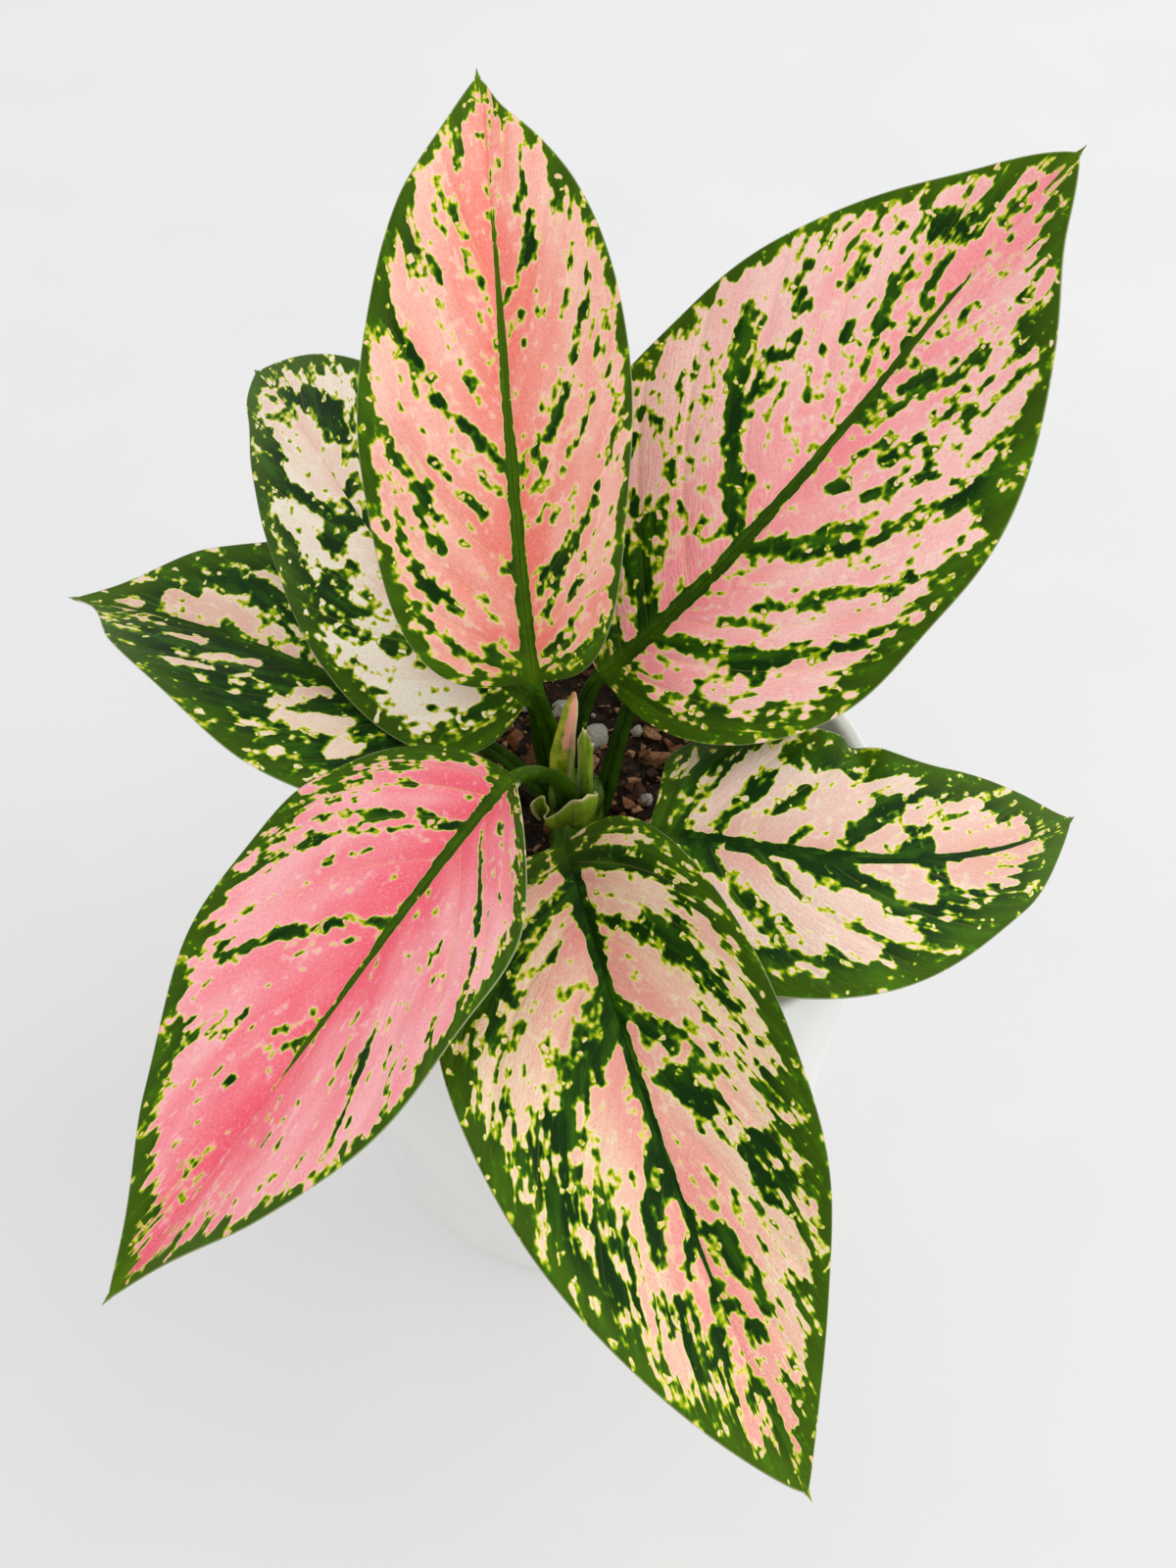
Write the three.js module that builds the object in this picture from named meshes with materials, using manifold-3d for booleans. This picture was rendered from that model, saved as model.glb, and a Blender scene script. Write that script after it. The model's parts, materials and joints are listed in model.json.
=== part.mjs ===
// A potted Chinese evergreen with pink variegated leaves, in millimetres, +Z up.
// The origin is the centre of the pot's flat base, and -Y is the side seen in front.
import * as THREE from 'three';
import { mergeVertices } from 'three/addons/utils/BufferGeometryUtils.js';
import Module from 'manifold-3d';

const wasm = await Module();
wasm.setup();

// Driving dimensions of the pot
const RIM_RADIUS = 60;
const BASE_RADIUS = 50;
const POT_HEIGHT = 103;
const WALL = 4;
const FLOOR = 6;
const LIP_ROUND = 1.6;
const FOOT_ROUND = 2;
const POT_SIDES = 48;

// Driving dimensions of the soil and the stem
const FIT_GAP = 0.3;
const SOIL_LEVEL = 90;
const SOIL_WAVE = 1.6;
const STEM_AXIS = [-3, 3];
const STEM_RADIUS = 5.7;
const STEM_TOP = 108;
const STEM_ROOT = 66;
const STEM_SIDES = 20;

// The rings of fallen leaves on the stem
const RING_SPACING = 5;
const RING_DEPTH = 0.4;
const STEM_FOOT_TAPER = 1;

// The soil's surface: the shares of its radius where it has rings, its waves in mm, and what lies on it
const SOIL_RINGS = [1, 0.93, 0.83, 0.7, 0.55, 0.4, 0.22, 0];
const BROAD_WAVE = [9, 11];
const FINE_WAVE = [3.7, 4.3];
const EDGE_FADE = 5;
const SCATTER_SEED = 11;
const SCATTER_RADIUS = 48;
const SCATTER_TILT = 20;
const CHIP_COUNT = 26;
const CHIP_SIZES = [[6, 13], [4, 8], [3, 5]];
const CHIP_HEADROOM = 6;
const GRAIN_COUNT = 16;
const GRAIN_RADII = [1.8, 3.2];
const GRAIN_STRETCH = [1.2, 1, 0.9];
const GRAIN_LIFT = 0.5;

// Driving dimensions that all leaves share
const BLADE_THICKNESS = 0.9;
const STALK_RADIUS = 2;
const TAPER = 0.85;
const POINT_FROM = 0.8;
const OUTLINE_SPREAD = 1.4;
const LOBE_SPREAD = 6;
const VEIN_START = 2.1;
const VEIN_BEND = [0.34, 0.62];
const RIB_FADE = 0.8;
const TIP_HALF_WIDTH = 0.5;
const GROOVE_DEPTH = 0.5;
const KEEL_DEPTH = 2;
const VEIN_RELIEF = 0.3;

// The leaves. Points are in mm. rib holds the four control points of the midrib, from the stalk to
// the tip. Left and right are as seen from above, looking from the stalk to the tip. half is the
// greatest half width of the left and right half, lobe how far the base lobes reach back, roll the
// turn about the midrib at the base and the tip, fold how far each half rises from flat at the base
// and the tip, and curl what it turns more out to the edge, all in degrees. belly is where along
// the blade it is widest, and point how much the tip is drawn in. foot and rise are the stalk's
// start and its next control point, and reach is how far it runs straight into the blade.
const LEAVES = {
  leaf_back_center: {
    color: 0xe58f8c,
    rib: [[-11, 7, 134], [-16, 36, 161], [-17, 65, 187], [-22, 98, 208]],
    half: [29, 29], lobe: [10, 10], roll: [26, 0], foldLeft: [13, 10], foldRight: [23, 8], curl: [4, 16],
    belly: 0.41, point: 0.18, wave: [1.2, 2.5, 0.1, 0.6],
    foot: [-5.3, 5.7, 103.5], rise: [-8, 12, 118], reach: 5,
  },
  leaf_back_left: {
    color: 0xdcc9b0,
    rib: [[-12, 11, 125], [-41, 26, 137], [-54, 66, 143], [-74, 105, 128]],
    half: [26, 30], lobe: [9, 9], roll: [25, 30], foldLeft: [6, 0], foldRight: [13, 10], curl: [-32, 4],
    belly: 0.4, point: 0.07, wave: [1, 2.5, 0.3, 0],
    foot: [-4.5, 6, 96], rise: [-12, 15, 102], reach: 3,
  },
  leaf_back_right: {
    color: 0xe6a1a0,
    rib: [[2, 17, 125], [38, 33, 150], [61, 57, 179], [90, 68, 212]],
    half: [41, 42], lobe: [2, 2], roll: [-12, -15], foldLeft: [7, 12], foldRight: [6, 15], curl: [-4, -14],
    belly: 0.37, point: 0.05, wave: [1.4, 2.5, 0.5, 0.2],
    foot: [-1.5, 6, 99], rise: [-5.5, 14, 108], reach: 4,
  },
  leaf_left_low: {
    color: 0x5d8a3c,
    rib: [[-22, 9.5, 113], [-50, 22, 115.5], [-76, 42.5, 114], [-113, 61.5, 101]],
    half: [30, 32], lobe: [7, 7], roll: [10, -10], foldLeft: [10, 18], foldRight: [13, 17], curl: [0, 16],
    belly: 0.35, point: 0.43, wave: [1, 2, 0, 0.4],
    foot: [-5, 2.5, 99], rise: [-10.5, 4, 106.5], reach: 6,
  },
  leaf_front_left: {
    color: 0xe0718a,
    rib: [[-14, -27, 146], [-32, -39, 130], [-52, -67, 113], [-87, -99, 86]],
    half: [34, 35], lobe: [3, -2], roll: [-12, -16], foldLeft: [20, 20], foldRight: [14, 18], curl: [-14, 0],
    belly: 0.41, point: 0.33, wave: [1.2, 2.5, 0.2, 0.7],
    foot: [-4.5, -0.4, 104], rise: [-4.6, -4.3, 126], reach: 2,
  },
  leaf_front: {
    color: 0x8ba85a,
    rib: [[-5, -28, 128], [4, -67, 130], [16, -100, 107], [38, -130, 73]],
    half: [30, 33], lobe: [1, 1], roll: [-20, 10], foldLeft: [27, 9], foldRight: [13, 13], curl: [20, 1],
    belly: 0.37, point: 0.03, wave: [1.2, 3, 0.4, 0.1],
    foot: [-3.5, 0, 100], rise: [-3.5, -14, 106], reach: 9,
    collar: {
      plan: [[0.9, -2.5], [1, -4.6], [-0.4, -7.2], [-2.8, -8.6], [-5.5, -8.6], [-7.7, -7.6], [-9, -5.9],
        [-8, -3.9], [-9, -2], [-11.2, -2.4], [-12, -4]],
      rim: [112.5, 114, 117, 118, 115.5, 111, 108.5, 110.5, 111.5, 111, 109.5], foot: 103, waist: 0.9,
    },
  },
  leaf_right: {
    color: 0x84a152,
    rib: [[11, -14, 114], [41, -28, 124], [73, -26, 113], [99, 6, 93]],
    half: [27, 28], lobe: [16, 16], roll: [-4, -36], foldLeft: [8, 11], foldRight: [8, -3], curl: [-15, -25],
    belly: 0.34, point: 0.29, wave: [1, 2.5, 0.6, 0.3], notch: [0.47, 0.035, 5],
    foot: [0, 1, 98], rise: [7, -7, 103], reach: 5,
  },
  leaf_under_right: {
    color: 0x5f9136,
    rib: [[12, 21, 121], [36, 38, 130], [56, 50, 132], [76, 58, 124]],
    half: [19, 20], lobe: [6, 6], roll: [0, -8], foldLeft: [10, 12], foldRight: [10, 12], curl: [0, 0],
    belly: 0.38, point: 0.25, wave: [0.8, 2.5, 0, 0.5],
    foot: [0.5, 3.5, 97], rise: [5, 8, 105], reach: 8,
  },
};

// The young parts in the middle of the crown. For a sheath, see sheathGeometry. The spear follows
// path with radii that are even along it. Its outer edge starts at the compass angle edge in degrees,
// winds on by winding radians from ring to ring, stands out by step of the radius, and closes after turn.
const SHEATH_WALL = 0.8;
const SHEATH_STEPS = 18;
const SHEATH_LEVELS = [0, 0.3, 0.65, 1];
const SHEATHS = {
  rolled_sheath: {
    plan: [[-2.2, -1.2], [-1.6, -1.9], [-0.5, -1.9], [0.1, -0.8], [-0.4, 0.5], [-1.5, 0.9], [-2.5, 0.3]],
    rim: [126.5, 131, 129, 125, 125, 126, 124.5], foot: 108.3, waist: 1,
  },
};
const SPEAR = {
  path: [[-5.4, 2, 108.3], [-6, 2.2, 114], [-5.4, 2.4, 122], [-4.2, 2.7, 130], [-3.3, 3, 135.5]],
  radii: [1.6, 2.1, 2.6, 2.65, 2.5, 2.2, 1.8, 1.2, 0.4], sides: 15, step: 0.3, edge: -60, winding: 0.12,
  turn: 0.98,
};

// Where the blade's rows start along the leaf, and its columns from the midrib to the edge
const ROWS = [0, 0.02, 0.05, 0.1, 0.17, 0.24, 0.31, 0.38, 0.45, 0.52, 0.59, 0.66, 0.73, 0.8, 0.87,
  0.93, 0.97, 1];
const FIRST_VEIN_ROW = 3;
const LAST_VEIN_ROW = 14;
const COLUMNS = [0, 0.07, 0.35, 0.7, 1];
const STALK_STEPS = 7;

// The stalk's section: where its points lie across it, how high its sides and top stand, and how
// deep its channel is, as shares of its radius, and how much thicker it is at its foot, in mm
const STALK_COLUMNS = [-1, -0.78, -0.5, -0.2, 0, 0.2, 0.5, 0.78, 1];
const STALK_TOP = 0.6;
const STALK_CHANNEL = 0.5;
const STALK_SIDE = 0.25;
const FOOT_SWELL = 0.4;
const RIB_SAMPLES = 40;

const degrees = (a) => a * Math.PI / 180;
const mix = (a, b, s) => a + (b - a) * s;
const smooth = (s) => s * s * (3 - 2 * s);
const clamp01 = (s) => Math.min(Math.max(s, 0), 1);
const vector = (p) => new THREE.Vector3(p[0], p[1], p[2]);
const add = (p, ...terms) => {
  const sum = p.clone();
  for (const [direction, length] of terms) sum.addScaledVector(direction, length);
  return sum;
};

// Turns a closed triangle mesh into a solid, and a solid back into a geometry
function toSolid(geometry) {
  const bare = geometry.clone();
  bare.deleteAttribute('normal');
  bare.deleteAttribute('uv');
  const merged = mergeVertices(bare, 1e-4);
  return new wasm.Manifold(new wasm.Mesh({
    numProp: 3,
    vertProperties: new Float32Array(merged.attributes.position.array),
    triVerts: new Uint32Array(merged.index.array),
  }));
}

function toGeometry(solid) {
  const mesh = solid.getMesh();
  const geometry = new THREE.BufferGeometry();
  geometry.setAttribute('position', new THREE.BufferAttribute(mesh.vertProperties, 3));
  geometry.setIndex(new THREE.BufferAttribute(mesh.triVerts, 1));
  geometry.computeVertexNormals();
  return geometry;
}

// A thin closed body from two matching nets of points, front and back, each rows of columns.
// Both nets are split into triangles alike, and mirrored about the middle column.
function sheetGeometry(front, back) {
  const rows = front.length;
  const columns = front[0].length;
  const positions = [];
  for (const net of [front, back]) {
    for (const row of net) for (const p of row) positions.push(p.x, p.y, p.z);
  }
  const at = (side, i, j) => (side * rows + i) * columns + j;
  const faces = [];
  const quad = (a, b, c, d) => faces.push(a, b, c, a, c, d);
  for (let i = 0; i < rows - 1; i++) {
    for (let j = 0; j < columns - 1; j++) {
      for (const side of [0, 1]) {
        const [a, b, c, d] = [at(side, i, j), at(side, i, j + 1), at(side, i + 1, j + 1), at(side, i + 1, j)];
        const pair = j < (columns - 1) / 2 ? [[a, b, c], [a, c, d]] : [[b, c, d], [b, d, a]];
        for (const face of pair) faces.push(...(side ? face.reverse() : face));
      }
    }
    const last = columns - 1;
    quad(at(0, i, 0), at(0, i + 1, 0), at(1, i + 1, 0), at(1, i, 0));
    quad(at(0, i + 1, last), at(0, i, last), at(1, i, last), at(1, i + 1, last));
  }
  for (let j = 0; j < columns - 1; j++) {
    const last = rows - 1;
    quad(at(0, 0, j + 1), at(0, 0, j), at(1, 0, j), at(1, 0, j + 1));
    quad(at(0, last, j), at(0, last, j + 1), at(1, last, j + 1), at(1, last, j));
  }
  const geometry = new THREE.BufferGeometry();
  geometry.setAttribute('position', new THREE.Float32BufferAttribute(positions, 3));
  geometry.setIndex(faces);
  return geometry;
}

// The flat outline of the left (0) or right (1) half of a blade. q runs from the stalk (0) to the
// tip (1). It gives how far along and how far out the edge is.
function outlinePoint(leaf, half, length, q) {
  const [halfWidth, lobe] = [leaf.half[half], leaf.lobe[half]];
  const x = 1 - (1 - q) ** OUTLINE_SPREAD;
  const lobePeak = (LOBE_SPREAD / (LOBE_SPREAD + 1)) ** LOBE_SPREAD / (LOBE_SPREAD + 1);
  const lobeShape = q * (1 - q) ** LOBE_SPREAD / lobePeak;
  const rise = (x / leaf.belly) ** (TAPER * leaf.belly / (1 - leaf.belly));
  const fall = ((1 - x) / (1 - leaf.belly)) ** TAPER;
  const drawn = 1 - leaf.point * smooth(clamp01((x - POINT_FROM) / (1 - POINT_FROM)));
  const least = mix(STALK_RADIUS, TIP_HALF_WIDTH, q);
  return [length * x - lobe * lobeShape, Math.max(halfWidth * rise * fall * drawn, least)];
}

// A point of the flat half blade on the vein line q, t of the way from the midrib (0) to the edge (1).
// The lines leave the midrib aslant and bend towards the tip, as the side veins do.
function flatPoint(leaf, half, length, q, t) {
  const [u, v] = outlinePoint(leaf, half, length, q);
  const start = length * q ** VEIN_START;
  const bendU = mix(start, u, VEIN_BEND[0]);
  const bendV = VEIN_BEND[1] * v;
  return [
    (1 - t) ** 2 * start + 2 * t * (1 - t) * bendU + t * t * u,
    2 * t * (1 - t) * bendV + t * t * v,
  ];
}

function ribLength(curve) {
  let length = 0;
  for (let i = 0; i < RIB_SAMPLES; i++) {
    length += curve.getPoint(i / RIB_SAMPLES).distanceTo(curve.getPoint((i + 1) / RIB_SAMPLES));
  }
  return length;
}

// The midrib's frame at s: its point, its forward, right and up directions, turned by the roll
function ribFrame(leaf, curve, s) {
  const forward = curve.getTangent(s).normalize();
  const level = new THREE.Vector3().crossVectors(forward, new THREE.Vector3(0, 0, 1)).normalize();
  const right = level.applyAxisAngle(forward, -degrees(mix(leaf.roll[0], leaf.roll[1], s)));
  const up = new THREE.Vector3().crossVectors(right, forward);
  return { point: curve.getPoint(s), forward, right, up };
}

// The point of the bent blade on vein line q, t across, side -1 left or 1 right, and its up direction
function bladePoint(leaf, curve, length, q, t, side) {
  const half = side < 0 ? 0 : 1;
  const [u, v] = flatPoint(leaf, half, length, q, t);
  const s = clamp01(u / length);
  const frame = ribFrame(leaf, curve, s);
  const across = v / leaf.half[half];
  const fold = half ? leaf.foldRight : leaf.foldLeft;
  const angle = degrees(mix(fold[0], fold[1], s) + leaf.curl[half] * across / 2);
  const [height, waves, phaseLeft, phaseRight] = leaf.wave;
  const phase = half ? phaseRight : phaseLeft;
  let wave = height * across ** 2 * Math.sin(2 * Math.PI * (waves * s + phase));
  if (leaf.notch && !half) {
    const [place, span, depth] = leaf.notch;
    wave -= depth * across ** 3 * Math.exp(-(((s - place) / span) ** 2));
  }
  const point = add(frame.point, [frame.forward, u - s * length],
    [frame.right, side * v * Math.cos(angle)], [frame.up, v * Math.sin(angle) + wave]);
  return { point, up: frame.up, v };
}

// How far the face is raised where the blade swells between its side veins and sinks along them
function veinRelief(row, t) {
  if (row < FIRST_VEIN_ROW || row > LAST_VEIN_ROW || t < COLUMNS[2] || t === 1) return 0;
  return (row - FIRST_VEIN_ROW) % 2 ? VEIN_RELIEF : -VEIN_RELIEF;
}

// Upper and under side of one row of the blade, from the left edge over the midrib to the right edge.
// The midrib is a channel above and a keel below, as wide as the stalk, and both fade to the tip.
function bladeRow(leaf, curve, length, row) {
  const upper = [];
  const under = [];
  const last = COLUMNS.length - 1;
  const fade = (1 - ROWS[row]) ** RIB_FADE;
  for (let j = -last; j <= last; j++) {
    const t = COLUMNS[Math.abs(j)];
    const { point, up, v } = bladePoint(leaf, curve, length, ROWS[row], t, Math.sign(j) || 1);
    const nearRib = clamp01(1 - v / STALK_RADIUS);
    const groove = GROOVE_DEPTH * fade * nearRib ** 2;
    const keel = KEEL_DEPTH * fade * (1 - (1 - nearRib) ** 2);
    const relief = veinRelief(row, t);
    upper.push(add(point, [up, BLADE_THICKNESS / 2 + relief - groove]));
    under.push(add(point, [up, relief - BLADE_THICKNESS / 2 - keel]));
  }
  return [upper, under];
}

// Upper and under side of the stalk's rings, from its foot to the blade: round below, and with a
// channel along the top
function stalkRows(leaf, curve) {
  const frame = ribFrame(leaf, curve, 0);
  const path = new THREE.CubicBezierCurve3(vector(leaf.foot), vector(leaf.rise),
    add(frame.point, [frame.forward, -leaf.reach]), frame.point);
  const rows = [];
  let right = frame.right;
  for (let k = STALK_STEPS - 1; k >= 0; k--) {
    const t = k / STALK_STEPS;
    const forward = path.getTangent(t);
    right = add(right, [forward, -right.dot(forward)]).normalize();
    const up = new THREE.Vector3().crossVectors(right, forward);
    const radius = STALK_RADIUS + FOOT_SWELL * (1 - t);
    const centre = path.getPoint(t);
    const round = (x) => Math.sqrt(1 - x * x);
    const upper = STALK_COLUMNS.map((x) => add(centre, [right, radius * x],
      [up, radius * (STALK_TOP * round(x) - STALK_CHANNEL * (1 - Math.abs(x)) ** 2)]));
    const under = STALK_COLUMNS.map((x) => add(centre, [right, radius * x],
      [up, -radius * mix(STALK_SIDE, 1, round(x))]));
    rows.unshift([upper, under]);
  }
  return rows;
}

// A whole leaf: its stalk, and its blade with midrib and side veins, in one closed body
function leafGeometry(leaf) {
  const curve = new THREE.CubicBezierCurve3(...leaf.rib.map(vector));
  const length = ribLength(curve);
  const rows = stalkRows(leaf, curve);
  for (let row = 0; row < ROWS.length; row++) rows.push(bladeRow(leaf, curve, length, row));
  return sheetGeometry(rows.map((row) => row[0]), rows.map((row) => row[1]));
}

// Turns a profile of [radius, height] points round +Z, starting and ending on the axis
function turned(profile, sides) {
  const geometry = new THREE.LatheGeometry(profile.map(([r, z]) => new THREE.Vector2(r, z)), sides);
  geometry.rotateX(Math.PI / 2);
  return toSolid(geometry);
}

// The pot: a turned shell with a rounded lip and foot
function potGeometry() {
  const innerBase = BASE_RADIUS - WALL;
  const innerRim = RIM_RADIUS - WALL;
  const shoulder = LIP_ROUND * 0.3;
  return toGeometry(turned([
    [0, 0], [BASE_RADIUS - FOOT_ROUND, 0], [BASE_RADIUS, FOOT_ROUND],
    [RIM_RADIUS, POT_HEIGHT - LIP_ROUND], [RIM_RADIUS - shoulder, POT_HEIGHT - shoulder],
    [RIM_RADIUS - LIP_ROUND, POT_HEIGHT], [innerRim + LIP_ROUND, POT_HEIGHT],
    [innerRim + shoulder, POT_HEIGHT - shoulder], [innerRim, POT_HEIGHT - LIP_ROUND],
    [innerBase, FLOOR], [0, FLOOR],
  ], POT_SIDES));
}

// A repeatable random number from 0 to 1
function seededRandom(seed) {
  let state = seed;
  return () => {
    state = (state * 1664525 + 1013904223) % 4294967296;
    return state / 4294967296;
  };
}

// Height of the soil's surface above its level
function soilRelief(x, y) {
  const broad = Math.sin(x / BROAD_WAVE[0] + 1) * Math.cos(y / BROAD_WAVE[1]);
  const fine = Math.sin(x / FINE_WAVE[0] - y / FINE_WAVE[1]);
  return SOIL_WAVE * (broad + fine / 2);
}

// Bark chips and perlite grains, scattered over the soil and sunk into it
function scatteredPieces(random) {
  const within = ([low, high]) => mix(low, high, random());
  const place = (solid, lift) => {
    const radius = SCATTER_RADIUS * Math.sqrt(random());
    const angle = 2 * Math.PI * random();
    const [x, y] = [radius * Math.cos(angle), radius * Math.sin(angle)];
    const turn = [SCATTER_TILT * within([-1, 1]), SCATTER_TILT * within([-1, 1]), 360 * random()];
    return solid.rotate(turn).translate([x, y, SOIL_LEVEL + soilRelief(x, y) + lift]);
  };
  const pieces = [];
  for (let i = 0; i < CHIP_COUNT; i++) {
    pieces.push(place(wasm.Manifold.cube(CHIP_SIZES.map(within), true), 0));
  }
  for (let i = 0; i < GRAIN_COUNT; i++) {
    const grain = toSolid(new THREE.IcosahedronGeometry(within(GRAIN_RADII)));
    pieces.push(place(grain.scale(GRAIN_STRETCH), GRAIN_LIFT));
  }
  return pieces;
}

// The soil: it fills the pot, with a rough top, chips and grains in it, and a hole for the stem
function soilGeometry() {
  const wallLean = (RIM_RADIUS - BASE_RADIUS) / POT_HEIGHT;
  const floor = FLOOR + FIT_GAP;
  const baseRadius = BASE_RADIUS - WALL - FIT_GAP;
  const radiusAt = (z) => baseRadius + wallLean * (z - floor);
  const topRadius = radiusAt(SOIL_LEVEL);
  const profile = [[0, floor], [baseRadius, floor]];
  for (const share of SOIL_RINGS) profile.push([topRadius * share, SOIL_LEVEL]);
  const geometry = new THREE.LatheGeometry(profile.map(([r, z]) => new THREE.Vector2(r, z)), POT_SIDES);
  geometry.rotateX(Math.PI / 2);
  const spots = geometry.attributes.position;
  for (let i = 0; i < spots.count; i++) {
    const [x, y, z] = [spots.getX(i), spots.getY(i), spots.getZ(i)];
    const inner = clamp01((topRadius - Math.hypot(x, y)) / EDGE_FADE);
    if (z > floor + 1) spots.setZ(i, z + soilRelief(x, y) * inner);
  }
  const highest = SOIL_LEVEL + CHIP_HEADROOM;
  const insideWall = wasm.Manifold.cylinder(highest - floor, baseRadius, radiusAt(highest), POT_SIDES)
    .translate([0, 0, floor]);
  const filled = wasm.Manifold.union([toSolid(geometry), ...scatteredPieces(seededRandom(SCATTER_SEED))]);
  return toGeometry(filled.intersect(insideWall).subtract(stemRoom(STEM_ROOT - FIT_GAP)));
}

// The stem: a short upright column with the rings of fallen leaves
function stemGeometry() {
  const waist = STEM_RADIUS - RING_DEPTH;
  const profile = [[0, STEM_ROOT], [waist - STEM_FOOT_TAPER, STEM_ROOT]];
  profile.push([waist, SOIL_LEVEL - RING_SPACING / 2]);
  for (let z = SOIL_LEVEL; z <= STEM_TOP - 2 * RING_SPACING; z += RING_SPACING) {
    profile.push([STEM_RADIUS, z], [waist, z + RING_SPACING / 2]);
  }
  profile.push([STEM_RADIUS, STEM_TOP - RING_SPACING], [waist, STEM_TOP - 1], [0, STEM_TOP]);
  return toGeometry(turned(profile, STEM_SIDES));
}

// The room the stem takes up, from a height upwards, with the gap that keeps touching pieces apart
function stemRoom(from = STEM_ROOT) {
  const radius = STEM_RADIUS + FIT_GAP;
  return wasm.Manifold.cylinder(STEM_TOP + FIT_GAP - from, radius, radius, STEM_SIDES)
    .translate([...STEM_AXIS, from]);
}

// A thin upright sheath. Seen from above it follows plan, and rim holds its height at each point of
// plan. At its foot it is drawn in towards the stem by the waist.
function sheathGeometry(sheath) {
  const plan = new THREE.CatmullRomCurve3(sheath.plan.map(([x, y]) => new THREE.Vector3(x, y, 0)));
  const heights = new THREE.CatmullRomCurve3(sheath.rim.map((z) => new THREE.Vector3(0, 0, z)));
  const axis = new THREE.Vector3(...STEM_AXIS, 0);
  const [inner, outer] = [[], []];
  for (let i = 0; i <= SHEATH_STEPS; i++) {
    const at = i / SHEATH_STEPS;
    const along = plan.getTangent(at);
    const out = new THREE.Vector3(along.y, -along.x, 0);
    const rim = heights.getPoint(at).z;
    for (const [side, net] of [[-1, inner], [1, outer]]) {
      net.push(SHEATH_LEVELS.map((h) => {
        const drawn = mix(sheath.waist, 1, Math.sin(h * Math.PI / 2));
        const spot = plan.getPoint(at).sub(axis).multiplyScalar(drawn).add(axis);
        spot.z = mix(sheath.foot, rim, h);
        return add(spot, [out, side * SHEATH_WALL / 2]);
      }));
    }
  }
  return sheetGeometry(inner, outer);
}

// The spear: a young leaf still rolled up, whose outer edge shows as a step that winds round it
function spearGeometry() {
  const path = new THREE.CatmullRomCurve3(SPEAR.path.map(vector));
  const rings = SPEAR.radii.map((radius, k) => {
    const centre = path.getPoint(k / (SPEAR.radii.length - 1));
    const first = degrees(SPEAR.edge) + SPEAR.winding * k;
    return Array.from({ length: SPEAR.sides }, (_, i) => {
      const share = i / (SPEAR.sides - 1);
      const angle = first + 2 * Math.PI * share * SPEAR.turn;
      const r = radius * (1 - SPEAR.step * share);
      return add(centre, [new THREE.Vector3(Math.cos(angle), Math.sin(angle), 0), r]);
    });
  });
  return loftGeometry(rings);
}

// A closed body through rings of points, from the lowest ring to the highest, counterclockwise
function loftGeometry(rings) {
  const sides = rings[0].length;
  const positions = rings.flat().flatMap((p) => [p.x, p.y, p.z]);
  const faces = [];
  for (let k = 0; k < rings.length - 1; k++) {
    for (let i = 0; i < sides; i++) {
      const [a, b] = [k * sides + i, k * sides + (i + 1) % sides];
      faces.push(a, b, b + sides, a, b + sides, a + sides);
    }
  }
  for (const [k, flip] of [[0, true], [rings.length - 1, false]]) {
    const centre = rings[k].reduce((sum, p) => sum.add(p), new THREE.Vector3()).divideScalar(sides);
    const middle = positions.length / 3;
    positions.push(centre.x, centre.y, centre.z);
    for (let i = 0; i < sides; i++) {
      const [a, b] = [k * sides + i, k * sides + (i + 1) % sides];
      faces.push(middle, ...(flip ? [b, a] : [a, b]));
    }
  }
  const geometry = new THREE.BufferGeometry();
  geometry.setAttribute('position', new THREE.Float32BufferAttribute(positions, 3));
  geometry.setIndex(faces);
  return geometry;
}

const plant = new THREE.Group();

function addPiece(name, geometry, color, roughness) {
  const material = new THREE.MeshStandardMaterial({ color, roughness, metalness: 0 });
  const mesh = new THREE.Mesh(geometry, material);
  mesh.name = name;
  plant.add(mesh);
  return mesh;
}

addPiece('pot', potGeometry(), 0xf2f1ee, 0.45);
addPiece('soil', soilGeometry(), 0x3a2a1f, 0.95);
const stem = addPiece('stem', stemGeometry(), 0x4f7a2c, 0.5);
stem.position.set(...STEM_AXIS, 0);
addPiece('spear', toGeometry(toSolid(spearGeometry()).subtract(stemRoom())), 0xa3b34a, 0.45);
for (const [name, sheath] of Object.entries(SHEATHS)) {
  addPiece(name, toGeometry(toSolid(sheathGeometry(sheath)).subtract(stemRoom())), 0x86a83f, 0.45);
}
for (const [name, leaf] of Object.entries(LEAVES)) {
  let solid = toSolid(leafGeometry(leaf));
  if (leaf.collar) solid = solid.add(toSolid(sheathGeometry(leaf.collar)));
  addPiece(name, toGeometry(solid.subtract(stemRoom())), leaf.color, 0.4);
}

export default plant;
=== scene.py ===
# %% [markdown]
# A potted Chinese evergreen, seen from above and in front. Eight broad leaves stand on grooved
# stalks round a short stem. Their faces are pink and cream, marbled with green along the side veins.
# It could be modelled by hand in the viewport, but then no step could be tried again with another
# number. So the whole plant is written down as code. The plain solids of the plant are loaded first.
# They give the place and the size of every piece, and each one is then replaced by a finer mesh that
# follows the same formulas, so that nothing moves.

# %% Load the frame
import json

import bmesh
import bpy
import numpy as np
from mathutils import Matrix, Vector, noise


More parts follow.
